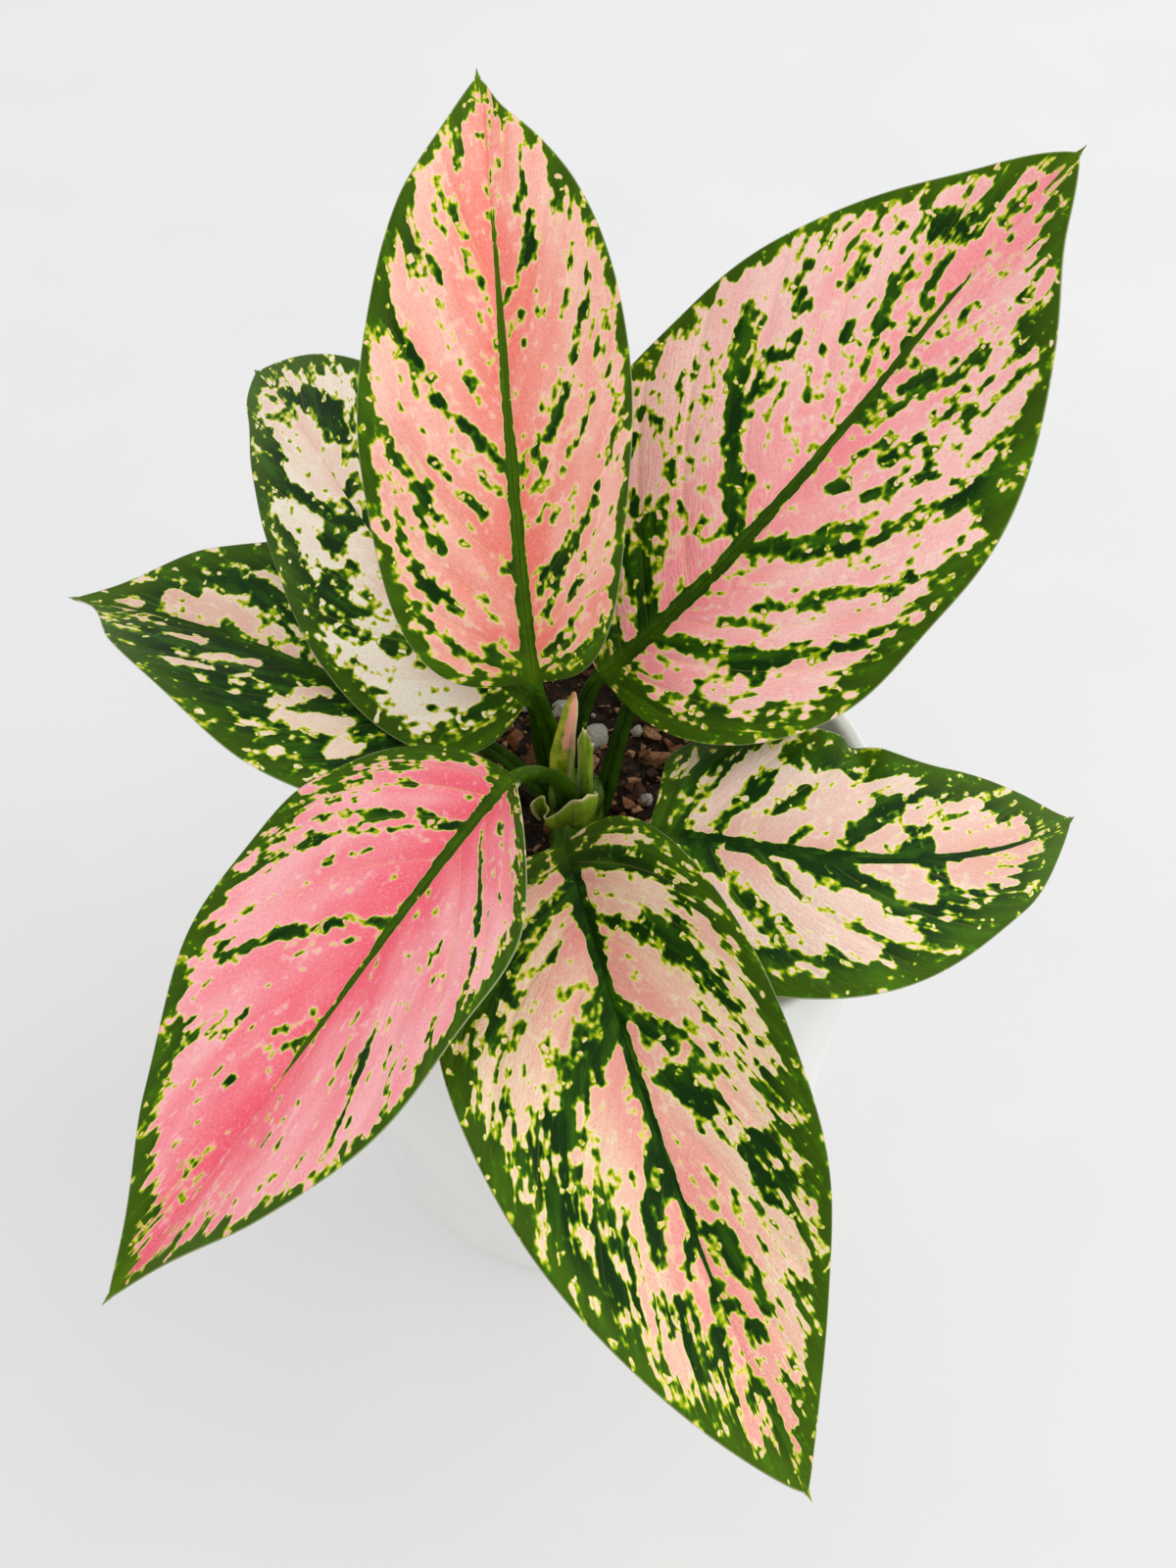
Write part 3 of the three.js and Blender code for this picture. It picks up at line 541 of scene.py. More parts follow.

# %% [markdown]
# The marbling is what makes this plant. On a real leaf, green cells and pink cells lie in patches
# that follow the side veins, with a broken green border. It could be noise alone, but then no leaf
# would have the patches of its own that tell it from the others. So each leaf has a short list of
# marks on its left and its right half. A mark is (q and t of its start, q and t of its
# end, half width in mm, strength), with q and t in hundredths. A strength above 0 is green and one
# below 0 is pink. A mark without a strength is an island, a pink spot in the green border.
# Each leaf also has the greenness that its marks start from (base), the width in mm of its green
# border on either side (rim), how torn its outer part is, the most that the marks can add up to
# (firm), how far along the leaf the green of the midrib runs (rib) and how olive it is, its palest
# and its deepest pink, and how deep the pink is at the foot and at the tip (blush).

# %% The leaves' marks
LOOKS = {
    "leaf_back_center": dict(
        base=-2.3, rim=(3.4, 2.4), torn=0.7, firm=2.2, rib=0.74, rib_olive=1.5,
        pale="#ffcbb8", deep="#f67f70", blush=(0.6, 0.3),
        left=[(60, 3, 59, 30, 1.1, 3.4), (59, 34, 56, 56, 0.9, 3.3), (57, 60, 56, 90, 1.3, 3.3),
            (79, 22, 79, 42, 0.9, 3.3), (80, 48, 79, 74, 0.8, 3.3), (83, 75, 86, 80, 0.6, 2.8),
            (65, 12, 65, 34, 0.6, 2.9), (72, 20, 71.5, 32, 0.5, 2.2), (71, 60, 70.5, 72, 0.5, 3),
            (66, 72, 67, 90, 1, 2.8), (49, 20, 49, 30, 0.7, 3), (48, 42, 47.5, 52, 0.9, 3),
            (50, 58, 48, 75, 0.7, 2.5), (41, 28, 40, 36, 0.6, 2.8), (40, 42, 41, 72, 1, 3.1),
            (33, 20, 34, 40, 0.6, 3), (35, 46, 37, 60, 0.8, 3.2), (40, 74, 42, 84, 0.7, 3),
            (28, 30, 27, 55, 0.6, 2.6), (25, 55, 29, 76, 1, 2.8), (22, 4, 21, 22, 0.9, 3.2),
            (15, 5, 15, 50, 0.9, 3.2), (17, 50, 19, 80, 1.3, 2.8), (3, 10, 5, 90, 1.4, 3.4),
            (95, 10, 93, 50, 0.6, 2.8), (88, 50, 87, 80, 0.6, 2.4)],
        right=[(58.5, 5, 56, 32, 1.3, 3.6), (56, 36, 55, 56, 1.2, 3.5), (56, 60, 57, 70, 0.7, 2.4),
            (58, 72, 60, 92, 0.9, 3), (44, 30, 44, 42, 1.3, 2.9), (47, 42, 48, 50, 1, 2.8),
            (48, 58, 49, 68, 0.8, 2.7), (51, 74, 51, 92, 0.8, 2.7), (36, 14, 35, 40, 1.9, 3.8),
            (35, 42, 37, 85, 0.7, 3), (26, 18, 28, 50, 0.9, 3), (20, 10, 22, 60, 0.8, 2.6),
            (12, 10, 14, 90, 2.2, 2.4), (78, 16, 77, 45, 0.8, 3.2), (77, 50, 78, 66, 1.1, 3.3),
            (80, 66, 83, 86, 0.6, 3), (68.5, 48, 68, 60, 0.6, 2.8), (72, 82, 73, 90, 0.8, 3),
            (71, 20, 71, 24, 0.6, 2.8), (63, 66, 64, 75, 0.6, 2.2), (95, 20, 93, 60, 0.6, 2.4),
            (90, 30, 90, 50, 0.5, 2.2)],
    ),
    "leaf_back_left": dict(
        base=-0.3, rim=(4.6, 4), torn=0.6, firm=2, rib=0.2, rib_olive=0,
        pale="#fdf3df", deep="#f6c6b4", blush=(0.2, 0.2),
        left=[(67, 14, 47, 10, 2.2, -3.5), (86, 20, 76, 20, 2.6, -3.5), (86, 50, 75, 55, 1.6, -3.5),
            (66, 48, 65, 72, 2.6, -3.6), (59, 42, 59, 50, 1.1, -3.4), (53, 64, 56, 70, 1, -3.6),
            (63, 84, 68, 88, 1.4, -4.6), (74, 90, 76, 90, 1, -4.4), (36, 56, 31, 66, 1.9, -3.6),
            (35, 40, 31, 46, 1.4, -3.6), (30, 82, 32, 80, 0.9, -4.4), (35, 28, 31, 34, 1.1, -3.4),
            (24, 30, 25, 72, 3.2, -3.6), (17, 78, 18, 92, 2.4, -4.6), (12, 25, 10, 60, 2, -3.4),
            (21, 66, 22, 74, 1, 3), (50, 60, 42, 75, 5, 2.4), (57, 78, 50, 85, 3, 2.6),
            (82, 72, 68, 74, 1.4, 4), (84, 40, 82, 50, 0.7, 4.4), (79, 96, 77.5, 35, 0.9, 4.6),
            (72, 95, 70, 12, 1.2, 4.8), (63, 35, 66, 40, 1.4, 3), (42, 30, 40, 45, 1.6, 2.4),
            (28, 30, 27, 50, 0.7, 3), (17, 20, 15, 70, 2.4, 3), (45, 12, 40, 20, 1.6, -3),
            (24, 46, 23.5, 50, 0.6, 4.6)],
        right=[(80, 36, 82, 74, 3, 4.4), (84, 60, 79, 62, 0.7, -3.4), (89, 74, 72, 84, 2.2, -4.4),
            (94, 40, 87, 50, 1.6, 3.6), (76, 6, 74, 24, 1.2, 4), (86, 12, 74, 30, 3.6, -3),
            (62, 20, 60, 60, 3.4, -3), (50, 10, 50, 60, 2.6, 3), (40, 20, 40, 70, 3.2, -3),
            (28, 20, 28, 80, 2.6, 3)],
    ),
    "leaf_back_right": dict(
        base=-1.85, rim=(3.4, 6), torn=0.9, firm=1.9, rib=0.78, rib_olive=0.8,
        pale="#ffd3c8", deep="#ff959c", blush=(0.5, 0.35),
        left=[(54, 0, 51, 85, 1.5, 3.6), (56, 42, 57, 64, 1.8, 2.8), (32, 0, 31, 48, 1.8, 3.4),
            (12, 0, 24, 35, 3, 2.8), (40, 30, 42, 90, 5, 1), (35, 15, 36, 35, 1.4, 2.2),
            (60, 58, 61, 63, 1.1, 3), (60, 70, 60.5, 76, 1.1, 3), (65, 33, 65, 43, 0.5, 3.2),
            (66, 48, 66, 53, 0.4, 3), (70, 46, 70, 52, 0.8, 3), (74.5, 15, 75, 42, 0.6, 3.2),
            (75.5, 42, 77, 85, 1.6, 3.2), (81, 5, 84, 60, 1.2, 3.2), (92, 30, 93, 60, 1.4, 3),
            (55, 85, 60, 86, 1.3, 2.4), (67, 80, 68, 90, 1.5, 2.4), (78, 70, 80, 85, 1.6, 2.4),
            (85, 60, 87, 85, 1.8, 2.4), (76, 90, 83, 90, 1.2, -2.5), (52.5, 86, 55, 92, 1.4),
            (62.5, 93, 63.5, 95, 1), (65.5, 88, 66.5, 92, 0.8), (35.5, 90, 35.8, 91, 0.8),
            (32.5, 82, 33, 86, 0.9), (74, 85, 74.5, 87, 0.8), (76, 92, 82, 93, 1), (45, 94, 45.5, 96, 0.6),
            (90, 85, 90.5, 88, 0.6), (48, 86, 48.5, 90, 0.6)],
        right=[(53, 6, 51, 95, 2.3, 3.4), (45, 62, 46, 88, 2.4, -4), (42, 50, 41, 95, 3.3, 1.9),
            (38.5, 18, 37.5, 38, 0.9, 3), (43, 42, 43, 48, 0.8, 2.6), (30.5, 8, 31, 95, 1.6, 3.2),
            (27, 40, 25, 52, 2.2, 2.6), (24, 60, 22, 72, 2, -2), (10, 0, 10, 90, 2.6, 2.4),
            (74.5, 2, 73, 90, 2, 3.4), (69, 50, 68, 75, 1.8, 2.2), (66, 80, 66.5, 86, 1.2, -3.5),
            (73, 72, 73.5, 80, 1, -3), (62.5, 18, 62, 27, 1, 3.4), (58.5, 43, 58, 50, 0.9, 3.4),
            (58, 58, 58.5, 64, 1.1, 3.4), (64, 38, 65, 52, 1.1, 3.2), (67, 25, 67.5, 36, 0.8, 2.4),
            (78.5, 12, 78, 20, 0.8, 3), (82.5, 35, 83, 42, 0.7, 3), (63.5, 85, 64.5, 92, 1.1),
            (66.5, 75, 67, 77, 0.9), (70.5, 72, 70.8, 73, 0.7), (68.5, 62, 68.5, 66, 0.9),
            (51.5, 90, 52, 92, 0.9), (41, 60, 41, 65, 1.2), (36, 69, 36, 72, 1.1),
            (36.5, 62, 36.5, 64, 0.8), (33, 57, 34, 66, 0.8), (32.5, 88, 33, 90, 0.8),
            (30, 82, 30, 84, 0.7), (27, 73, 27, 77, 1), (21.5, 90, 21.7, 92, 0.8), (45.5, 53, 45, 62, 1.2),
            (77, 90, 78, 94, 0.8), (56, 84, 56.5, 86, 0.6)],
    ),
    "leaf_left_low": dict(
        base=2.8, rim=(4, 5), torn=0.4, firm=2.3, rib=0.9, rib_olive=0.4,
        pale="#f3dfc8", deep="#e6b3a0", blush=(0.3, 0.4),
        left=[(69, 26, 69.5, 52, 1, -5), (76, 42, 76.5, 62, 1, -5), (82, 46, 83, 66, 0.6, -4.4),
            (90, 40, 90, 60, 0.5, -4), (63, 62, 64, 78, 0.8, -5), (58, 71, 58.5, 73, 0.8, -4.6),
            (55, 62, 54.5, 66, 0.9, -4.6), (58.5, 54, 59, 58, 0.7, -4.4), (63, 44, 62, 50, 0.8, -4.2),
            (52, 50, 48, 55, 2.1, -5.4), (54, 34, 53, 48, 1, -5), (57.5, 16, 57, 30, 1.4, -5),
            (46.5, 42, 38.5, 44, 2, -5.2), (44, 30, 45.5, 52, 1.5, -5), (35, 76, 34.5, 88, 0.9, -5.4),
            (34, 40, 33, 58, 0.9, -5), (44, 72, 44, 76, 0.8, -3.4), (41, 70, 40, 74, 0.6, -4),
            (22, 30, 22, 60, 1.4, -4.6)],
        right=[(70.5, 4, 73, 50, 2.2, -5), (74, 30, 76.5, 60, 2, -4.8), (73.5, 12, 74, 28, 1, -4.4),
            (72.5, 12, 73, 25, 0.5, 3), (81, 22, 84, 56, 1.7, -5), (80, 60, 81, 70, 0.9, -4.4),
            (72, 84, 72.5, 90, 0.8, -6), (66, 82, 67, 90, 0.6, -4), (60, 60, 63, 78, 1, -4.8),
            (90, 42, 90.5, 74, 0.9, -5), (63, 3, 63, 30, 1.6, -4.6), (50, 10, 50, 40, 1.6, -4.6),
            (35, 30, 36, 60, 1.8, -4.6)],
    ),
    "leaf_front_left": dict(
        base=-3.2, rim=(3, 4.8), torn=1.3, firm=2.6, rib=0.66, rib_olive=1.2,
        pale="#ffbcbe", deep="#f86478", blush=(0.56, 0.4),
        left=[(34, 10, 34.5, 60, 0.45, 3.6), (34.5, 66, 35, 95, 0.5, 3.6), (60.5, 40, 61, 90, 0.6, 3.2),
            (61.5, 58, 62, 65, 0.8, 3.8), (52, 75, 52.5, 85, 0.5, 3.6), (79, 30, 79, 36, 0.5, 3.6),
            (80, 72, 81, 82, 0.5, 3.6), (22, 20, 24, 50, 0.7, 3), (10, 10, 12, 90, 1.6, 3.4),
            (70, 86, 85, 86, 0.7, 2)],
        right=[(12, 5, 13, 90, 1.7, 3.6), (17, 40, 19, 55, 1, -2), (39, 2, 34.5, 65, 0.8, 4),
            (40.5, 5, 41, 45, 0.6, 3.6), (27, 36, 27.5, 50, 1, 3.8), (30, 50, 31, 56, 0.8, 3.4),
            (39.5, 58, 40.5, 75, 1.1, 3.8), (45.5, 34, 45.5, 42, 0.6, 3.8), (50.5, 52, 51, 56, 0.7, 3.8),
            (56, 56, 55.5, 62, 0.6, 3.6), (61.5, 5, 55, 80, 0.9, 4), (63.5, 15, 62, 52, 0.7, 3.8),
            (67, 62, 67.5, 76, 1.3, 4), (73.5, 30, 73.5, 36, 0.6, 3.6), (77.5, 5, 77, 20, 0.7, 4),
            (77, 50, 76.5, 58, 0.6, 3.2), (76, 70, 76, 76, 0.6, 3.6), (79, 62, 80, 78, 0.7, 3.8),
            (85, 55, 85, 62, 0.5, 3.4), (89.5, 25, 90, 40, 0.5, 3.6), (50, 86, 65, 86, 2, 2.2),
            (22, 70, 30, 85, 2, 2), (18, 45, 17.5, 30, 0.6), (16, 35, 15, 15, 0.4), (19, 75, 18.5, 78, 0.3),
            (22.5, 84, 23, 93, 0.6), (31, 90, 31.5, 93, 0.3), (36, 90, 37, 95, 0.5),
            (45.5, 90, 46, 94, 0.6), (51.5, 88, 53, 92, 0.7), (57.5, 88, 58.5, 92, 0.3)],
    ),
    "leaf_front": dict(
        base=0.9, rim=(4, 5), torn=1.4, firm=1.6, rib=0.72, rib_olive=0,
        pale="#efd9b8", deep="#ee9a90", blush=(0.45, 0.45),
        left=[(30, 5, 34, 28, 3, -4), (24, 34, 28, 50, 1.6, -2.6), (43, 4, 44, 36, 2.6, -4),
            (49, 6, 49, 30, 2.6, -4), (45, 36, 49, 62, 3.2, -2.8), (52, 60, 54, 70, 1.6, -3.4),
            (59.5, 5, 60, 24, 1.6, -4), (58, 45, 60, 56, 1.6, -3.4), (66.5, 5, 67, 50, 2.4, -4),
            (71.5, 6, 73.5, 56, 2.6, -4.2), (76.5, 8, 77, 24, 0.8, -3.4), (81, 12, 82.5, 45, 1.7, -4),
            (87, 12, 88, 50, 1.4, -4), (80, 62, 81, 75, 1.2, -3.6), (73, 68, 79, 86, 1.5, -4.4),
            (66, 74, 69, 86, 1.4, -3.2), (30, 66, 33, 82, 2, -3), (40, 75, 42, 86, 1.6, -2.4),
            (90, 55, 91, 70, 0.8, -3.6), (12, 30, 14, 60, 1.4, -3), (38.5, 3, 38.5, 60, 1.3, 3.4),
            (55.5, 3, 55, 40, 1.2, 3.6), (62, 20, 60, 44, 1.5, 3), (21, 5, 20, 50, 1.6, 3),
            (78.5, 5, 78, 50, 1.5, 3.4), (84.5, 6, 85, 50, 1.1, 3.2)],
        right=[(23, 6, 27, 40, 2.2, -3.8), (35.5, 5, 36, 40, 1.1, -3.6), (42, 6, 41, 55, 2.8, -4),
            (48, 5, 46, 36, 2.8, -4), (34, 76, 37, 82, 1.5, -3.4), (43, 56, 46, 66, 2.2, -3),
            (61, 5, 62, 24, 0.9, -3.6), (62, 28, 61, 50, 2.6, -3.6), (68, 10, 67, 44, 2.4, -4),
            (69, 50, 73, 86, 1.6, -3.8), (77, 14, 76.5, 46, 1.5, -4), (83, 10, 81, 50, 1.4, -3.2),
            (33, 90, 38, 90, 1, -4.4), (43, 84, 50, 86, 0.8, -3.8), (88, 30, 90, 70, 1.2, -2.6),
            (31, 3, 30, 75, 1.9, 3.2), (55.5, 3, 55, 50, 1.9, 2.6), (72.5, 3, 73, 50, 1.2, 3),
            (53, 72, 60, 80, 3.4, 2), (13, 5, 13, 80, 1.6, 2.6)],
    ),
    "leaf_right": dict(
        base=1.9, rim=(4.2, 6), torn=1.2, firm=1.9, rib=0.86, rib_olive=0,
        pale="#e8d3c2", deep="#dea99a", blush=(0.36, 0.4),
        left=[(33, 8, 27.5, 50, 1.4, -5), (29.5, 45, 30, 78, 2, -4.4), (12, 55, 15, 80, 1, -4.2),
            (20, 46, 21, 60, 1, -2.4), (43, 6, 40, 52, 2.1, -5), (47.5, 5, 50, 60, 2.2, -5),
            (44.5, 26, 43.5, 50, 0.6, 4.4), (43, 56, 45, 76, 1.6, -3.2), (45, 82, 47, 90, 0.8, -5),
            (53, 62, 57, 80, 1.3, -3.8), (58.5, 5, 55, 55, 1.8, -5), (68, 6, 68, 54, 2.2, -5),
            (72, 20, 71.5, 42, 0.5, 4), (79, 16, 80, 58, 2.4, -5), (88, 12, 87, 60, 1.7, -4.8),
            (70, 66, 72, 80, 1, -3.4), (92, 70, 93, 80, 0.8, -4), (63, 20, 60, 60, 1.6, 2)],
        right=[(34, 25, 35, 62, 1.1, -4.8), (43, 5, 44.5, 56, 2.4, -5), (45.5, 50, 48, 74, 2.1, -4.8),
            (52.5, 5, 52.5, 50, 1.3, -4.8), (56.5, 38, 56.5, 50, 1.3, -4.6), (53, 60, 54, 76, 1.4, -4.8),
            (68.5, 6, 68, 40, 3.2, -5), (76, 36, 75, 64, 1.3, -4.6), (83, 14, 84, 60, 1.5, -4.8),
            (90, 10, 90, 70, 1.2, -4.4), (77.5, 64, 78, 76, 0.8, -4.2), (40, 62, 40.5, 70, 0.9, -4.6),
            (53, 84, 53.5, 87, 1, -5.4), (36, 80, 38, 84, 0.8, -3.4), (62, 70, 63, 82, 0.7, -3.8),
            (30, 50, 31, 70, 1, -4), (77, 8, 76.5, 30, 1.5, 2), (61, 6, 61, 60, 1.6, 1.6)],
    ),
    "leaf_under_right": dict(
        base=0.8, rim=(3, 3), torn=0.8, firm=1.9, rib=0.9, rib_olive=0,
        pale="#f3dfc8", deep="#e9a99c", blush=(0.4, 0.4),
        left=[(30, 10, 30, 60, 1.6, -4.6), (45, 10, 46, 70, 1.8, -4.6), (62, 10, 62, 60, 1.6, -4.6),
            (78, 10, 78, 60, 1.4, -4.6)],
        right=[(25, 10, 25, 60, 1.5, -4.6), (40, 10, 41, 65, 1.9, -4.6), (56, 15, 56, 70, 1.6, -4.6),
            (72, 10, 73, 60, 1.5, -4.6)],
    ),
}

marks = sum(len(look["left"]) + len(look["right"]) for look in LOOKS.values())
print(marks, "marks on", len(LOOKS), "leaves")

# %% [markdown]
# Now the marks are turned into a number called green for each point of the net: above 0 the leaf is
# green there, below 0 it is pink. The marks could be painted as shapes with hard edges, but real
# patches melt into each other. So each mark counts fully in its middle and fades out to its edge,
# and what all of them add up to is pressed softly under the leaf's firmness. The border, its pink
# islands and the green of the midrib are laid over that.

# %% How green each point is
MARK_STEPS = 9
MARK_FADE = (2.1, 0.5)
BORDER_GREEN = 1.55
BORDER_FADE = (0.3, 1.5)
ISLAND_PINK = -1.8
RIB_GREEN = 3.5
RIB_WIDTHS = (1.9, 0.35)
RIB_FADE_OUT = (0.8, 1.15)
RIB_END = 0.06


def mark_reach(leaf, net, side, mark):
    """How much a mark counts at each point of the net: 1 in its middle, 0 well outside."""
    q_start, t_start, q_end, t_end = np.array(mark[:4]) / 100
    steps = np.linspace(0, 1, MARK_STEPS)
    q, t = mix(q_start, q_end, steps), mix(t_start, t_end, steps)
    line = np.stack(flat_point(leaf, np.full(MARK_STEPS, side), q, t), -1)
    spots = np.stack([net["along"], net["out"]], -1)
    least = np.full(net["out"].shape, FAR)
    for a, b in zip(line[:-1], line[1:]):
        reach = b - a
        share = clamp01(((spots - a) @ reach) / max(reach @ reach, 1e-6))
        least = np.minimum(least, np.linalg.norm(spots - a - share[..., None] * reach, axis=-1))
    return np.where(SIDE == side, 1 - soft_step(least, 0, MARK_FADE[0] * mark[4] + MARK_FADE[1]), 0)


def greenness(leaf, net, look):
    """How green each point of the net is, before the noise."""
    halves = [(side, mark) for side, half in ((-1, "left"), (1, "right")) for mark in look[half]]
    green = np.full(net["out"].shape, float(look["base"]))
    for side, mark in halves:
        if len(mark) == 6:
            green += mark[5] * mark_reach(leaf, net, side, mark)
    green = look["firm"] * np.tanh(green / look["firm"])
    rim_width = by_side(look["rim"], SIDE)
    border = 1 - soft_step(net["rim"], BORDER_FADE[0] * rim_width, BORDER_FADE[1] * rim_width)
    green = mix(green, BORDER_GREEN, border)
    for side, mark in halves:
        if len(mark) == 5:
            green = mix(green, ISLAND_PINK, mark_reach(leaf, net, side, mark))
    s = net["along"] / leaf["length"]
    rib_width = mix(*RIB_WIDTHS, clamp01(s / look["rib"]))
    shown = 1 - soft_step(s, look["rib"] - RIB_END, look["rib"] + RIB_END)
    shown = shown * (1 - soft_step(net["out"], RIB_FADE_OUT[0] * rib_width, RIB_FADE_OUT[1] * rib_width))
    return np.maximum(green, mix(green, RIB_GREEN, shown))


front_green = greenness(LEAVES["leaf_front"], flat_net(LEAVES["leaf_front"]), LOOKS["leaf_front"])
print("front leaf:", round(100 * float((front_green > 0).mean())), "hundredths of its net are green")

# %% [markdown]
# The skin of a leaf has four layers of colour. Where green is low it is pink, deeper near the
# midrib and paler at the edges of a patch. Then come a thin cream line, a yellow-green halo, and the
# dark green of the middle of a patch. Paint in flat patches would look printed, so the patches are
# roughened by noise at four sizes before the colours are laid on. Most of that noise is stretched
# along the veins, so it is fed with places counted along and across the vein lines. Small pale dots
# break up the green, and a fine speckle breaks up the pink.

# %% The leaf's finish
CREAM = tone("#f5e6cc")
ROSE_FLECK = tone("#d9586c")
HALO_CREAM = tone("#e6d568")
HALO_GREEN = tone("#a6b806")
MID_GREEN = tone("#407200")
DARK_GREEN = tone("#0a2e00")
OLIVE = tone("#547600")
PALE_BACK = tone("#a9b98a")
# The edge line: the leaf's own pale margin with a painted highlight where the thin edge catches the light.
PALE_EDGE_AND_HIGHLIGHT = tone("#b9bd8e")
BLOTCH_SIZE = 7
FRAY_SIZE = 3
LUMP_SIZE = 2.5
SHRED_SIZE = 1.7
DOT_SIZE = 2.2
SPECKLE_SIZE = 0.45
WRINKLE_SIZE = 0.7
WRINKLE_HEIGHT = 0.045


def leaf_finish():
    f = Finish("variegated_leaf")
    grain = f.attribute("grain", vector=True)
    flat = f.attribute("flat", vector=True)
    blotches = f.noise(f.stretched(grain, (0.45, 1, 1)), BLOTCH_SIZE, detail=1)
    frays = f.noise(f.stretched(grain, (0.5, 1, 1)), FRAY_SIZE, detail=1)
    lumps = f.noise(flat, LUMP_SIZE, detail=1.5)
    shreds = f.noise(f.stretched(grain, (0.35, 1, 1)), SHRED_SIZE, detail=1.5)
    level = f.attribute("green")
    for cloud, strength in ((blotches, 0.8), (frays, 0.8), (lumps, 0.95), (shreds, f.attribute("torn"))):
        level = f.maths("MULTIPLY_ADD", cloud, strength, level)
    dots = f.step(f.noise(flat, DOT_SIZE, detail=0.5), 0.85, 1.45)
    level = f.maths("MULTIPLY_ADD", f.maths("MULTIPLY", dots, f.step(level, 0.1, 1)), -1.75, level)

    shade = f.noise(f.stretched(grain, (0.5, 1, 1)), 9, detail=1)
    blush = f.maths("MULTIPLY_ADD", shade, 0.13, f.attribute("blush"))
    blush = f.maths("ADD", blush, f.step(level, -1.6, -0.3, 0.05, -0.35))
    pink = f.blend(f.step(blush, 0, 1), f.attribute("pale", vector=True), f.attribute("deep", vector=True))
    speckle = f.noise(flat, SPECKLE_SIZE, detail=2, rough=0.7)
    pink = f.blend(f.step(speckle, 0, 2, 0, 0.42), pink, ROSE_FLECK)
    pink = f.blend(f.step(speckle, -2, 0, 0.3, 0), pink, CREAM)

    leafy = f.noise(f.stretched(grain, (0.3, 1, 1)), 4, detail=3)
    dark = f.blend(f.step(leafy, -0.6, 2, 0, 0.6), DARK_GREEN, MID_GREEN)
    dark = f.blend(f.maths("MULTIPLY", f.attribute("olive"), 0.4), dark, OLIVE)

    colour = f.blend(f.step(level, -0.55, -0.25), pink, HALO_CREAM)
    colour = f.blend(f.step(level, -0.3, 0.05), colour, HALO_GREEN)
    colour = f.blend(f.step(level, 0.0, 0.5), colour, MID_GREEN)
    colour = f.blend(f.step(level, 0.3, 1.2), colour, dark)
    vein = f.step(f.attribute("vein_mm"), 0.06, 0.24, 0.36, 0)
    vein = f.maths("MULTIPLY", vein, f.attribute("vein_shown"))
    vein = f.maths("MULTIPLY", vein, f.step(level, -0.3, 0.6, 1, 0.25))
    colour = f.blend(vein, colour, HALO_CREAM)
    colour = f.blend(f.maths("MULTIPLY", f.attribute("back"), 0.55), colour, PALE_BACK)
    # A pale line along the very edge: partly the leaf's own pale margin, partly a painted highlight where
    # the thin edge catches the light.
    colour = f.blend(f.step(f.attribute("rim_mm"), 0.02, 0.25, 0.5, 0), colour, PALE_EDGE_AND_HIGHLIGHT)

    wrinkles = f.noise(f.stretched(grain, (0.3, 1, 1)), WRINKLE_SIZE, detail=3, rough=0.6)
    f.bump(f.maths("MULTIPLY_ADD", speckle, 0.3, wrinkles), WRINKLE_HEIGHT)
    rough = f.step(level, -1, 1, 0.5, 0.38)
    return f.set(Base_Color=colour, Roughness=rough, Specular_IOR_Level=0.08)


LEAF_FINISH = leaf_finish()

# %% [markdown]
# The finish has to know where on the leaf it is. A picture wrapped on the leaf could tell it, but
# would blur close up. Instead every point carries numbers: how green it is, its place along and
# across the veins, its place on the flat leaf, how deep its pink is, how torn and how olive it is,
# and how far it lies from the next vein and from the edge. Each leaf and each half reads its own
# part of the noise, so that no two of them share a pattern.

# %% The numbers that the leaf's finish reads
NOISE_SHIFT = 40
OTHER_HALF = 500
GRAIN_LAYER = 7.0
FLAT_LAYER = 11.0
ROW_SPREAD = 0.85
BLUSH_GAIN = 0.7
BLUSH_REACH = 0.4
BLUSH_MEAN = 0.4
TORN_FROM = (0.25, 0.7)
TORN_TO_RIM = (0.5, 3)
OLIVE_BORDER = (1, 9)
OLIVE_TIP = 0.4
OLIVE_TIP_FROM = 0.75
OLIVE_RIB = 1.6
VEINS_FROM_RIB = (0.5, 3)
VEINS_TO_RIM = (1, 8)


def everywhere(value):
    return np.broadcast_to(value, (*Q.shape, *np.shape(value)))


def leaf_values(leaf, net, look, seed):
    """The numbers that the finish reads, on the blade's net."""
    s = net["along"] / leaf["length"]
    shift = NOISE_SHIFT * seed + np.where(SIDE < 0, 0, OTHER_HALF)
    across = Q * leaf["length"] * ROW_SPREAD + shift
    near_rib = np.exp(-net["out"] / (BLUSH_REACH * by_side(leaf["half"], SIDE)))
    on_rib = np.exp(-((net["out"] / OLIVE_RIB) ** 2))
    return dict(
        green=greenness(leaf, net, look),
        grain=np.stack([net["line"] + shift, across, everywhere(GRAIN_LAYER * seed)], -1),
        flat=np.stack([net["along"], SIDE * net["out"], everywhere(FLAT_LAYER * seed)], -1),
        blush=mix(*look["blush"], s) + BLUSH_GAIN * (near_rib - BLUSH_MEAN),
        pale=everywhere(tone(look["pale"])[:3]),
        deep=everywhere(tone(look["deep"])[:3]),
        torn=look["torn"] * soft_step(T, *TORN_FROM) * soft_step(net["rim"], *TORN_TO_RIM),
        olive=1 - soft_step(net["rim"], *OLIVE_BORDER) + soft_step(s, OLIVE_TIP_FROM, 1) * OLIVE_TIP
        + look["rib_olive"] * on_rib,
        vein_mm=net["vein_mm"],
        vein_shown=soft_step(net["out"], *VEINS_FROM_RIB) * soft_step(net["rim"], *VEINS_TO_RIM),
        rim_mm=net["rim"],
        back=np.zeros(Q.shape),
    )

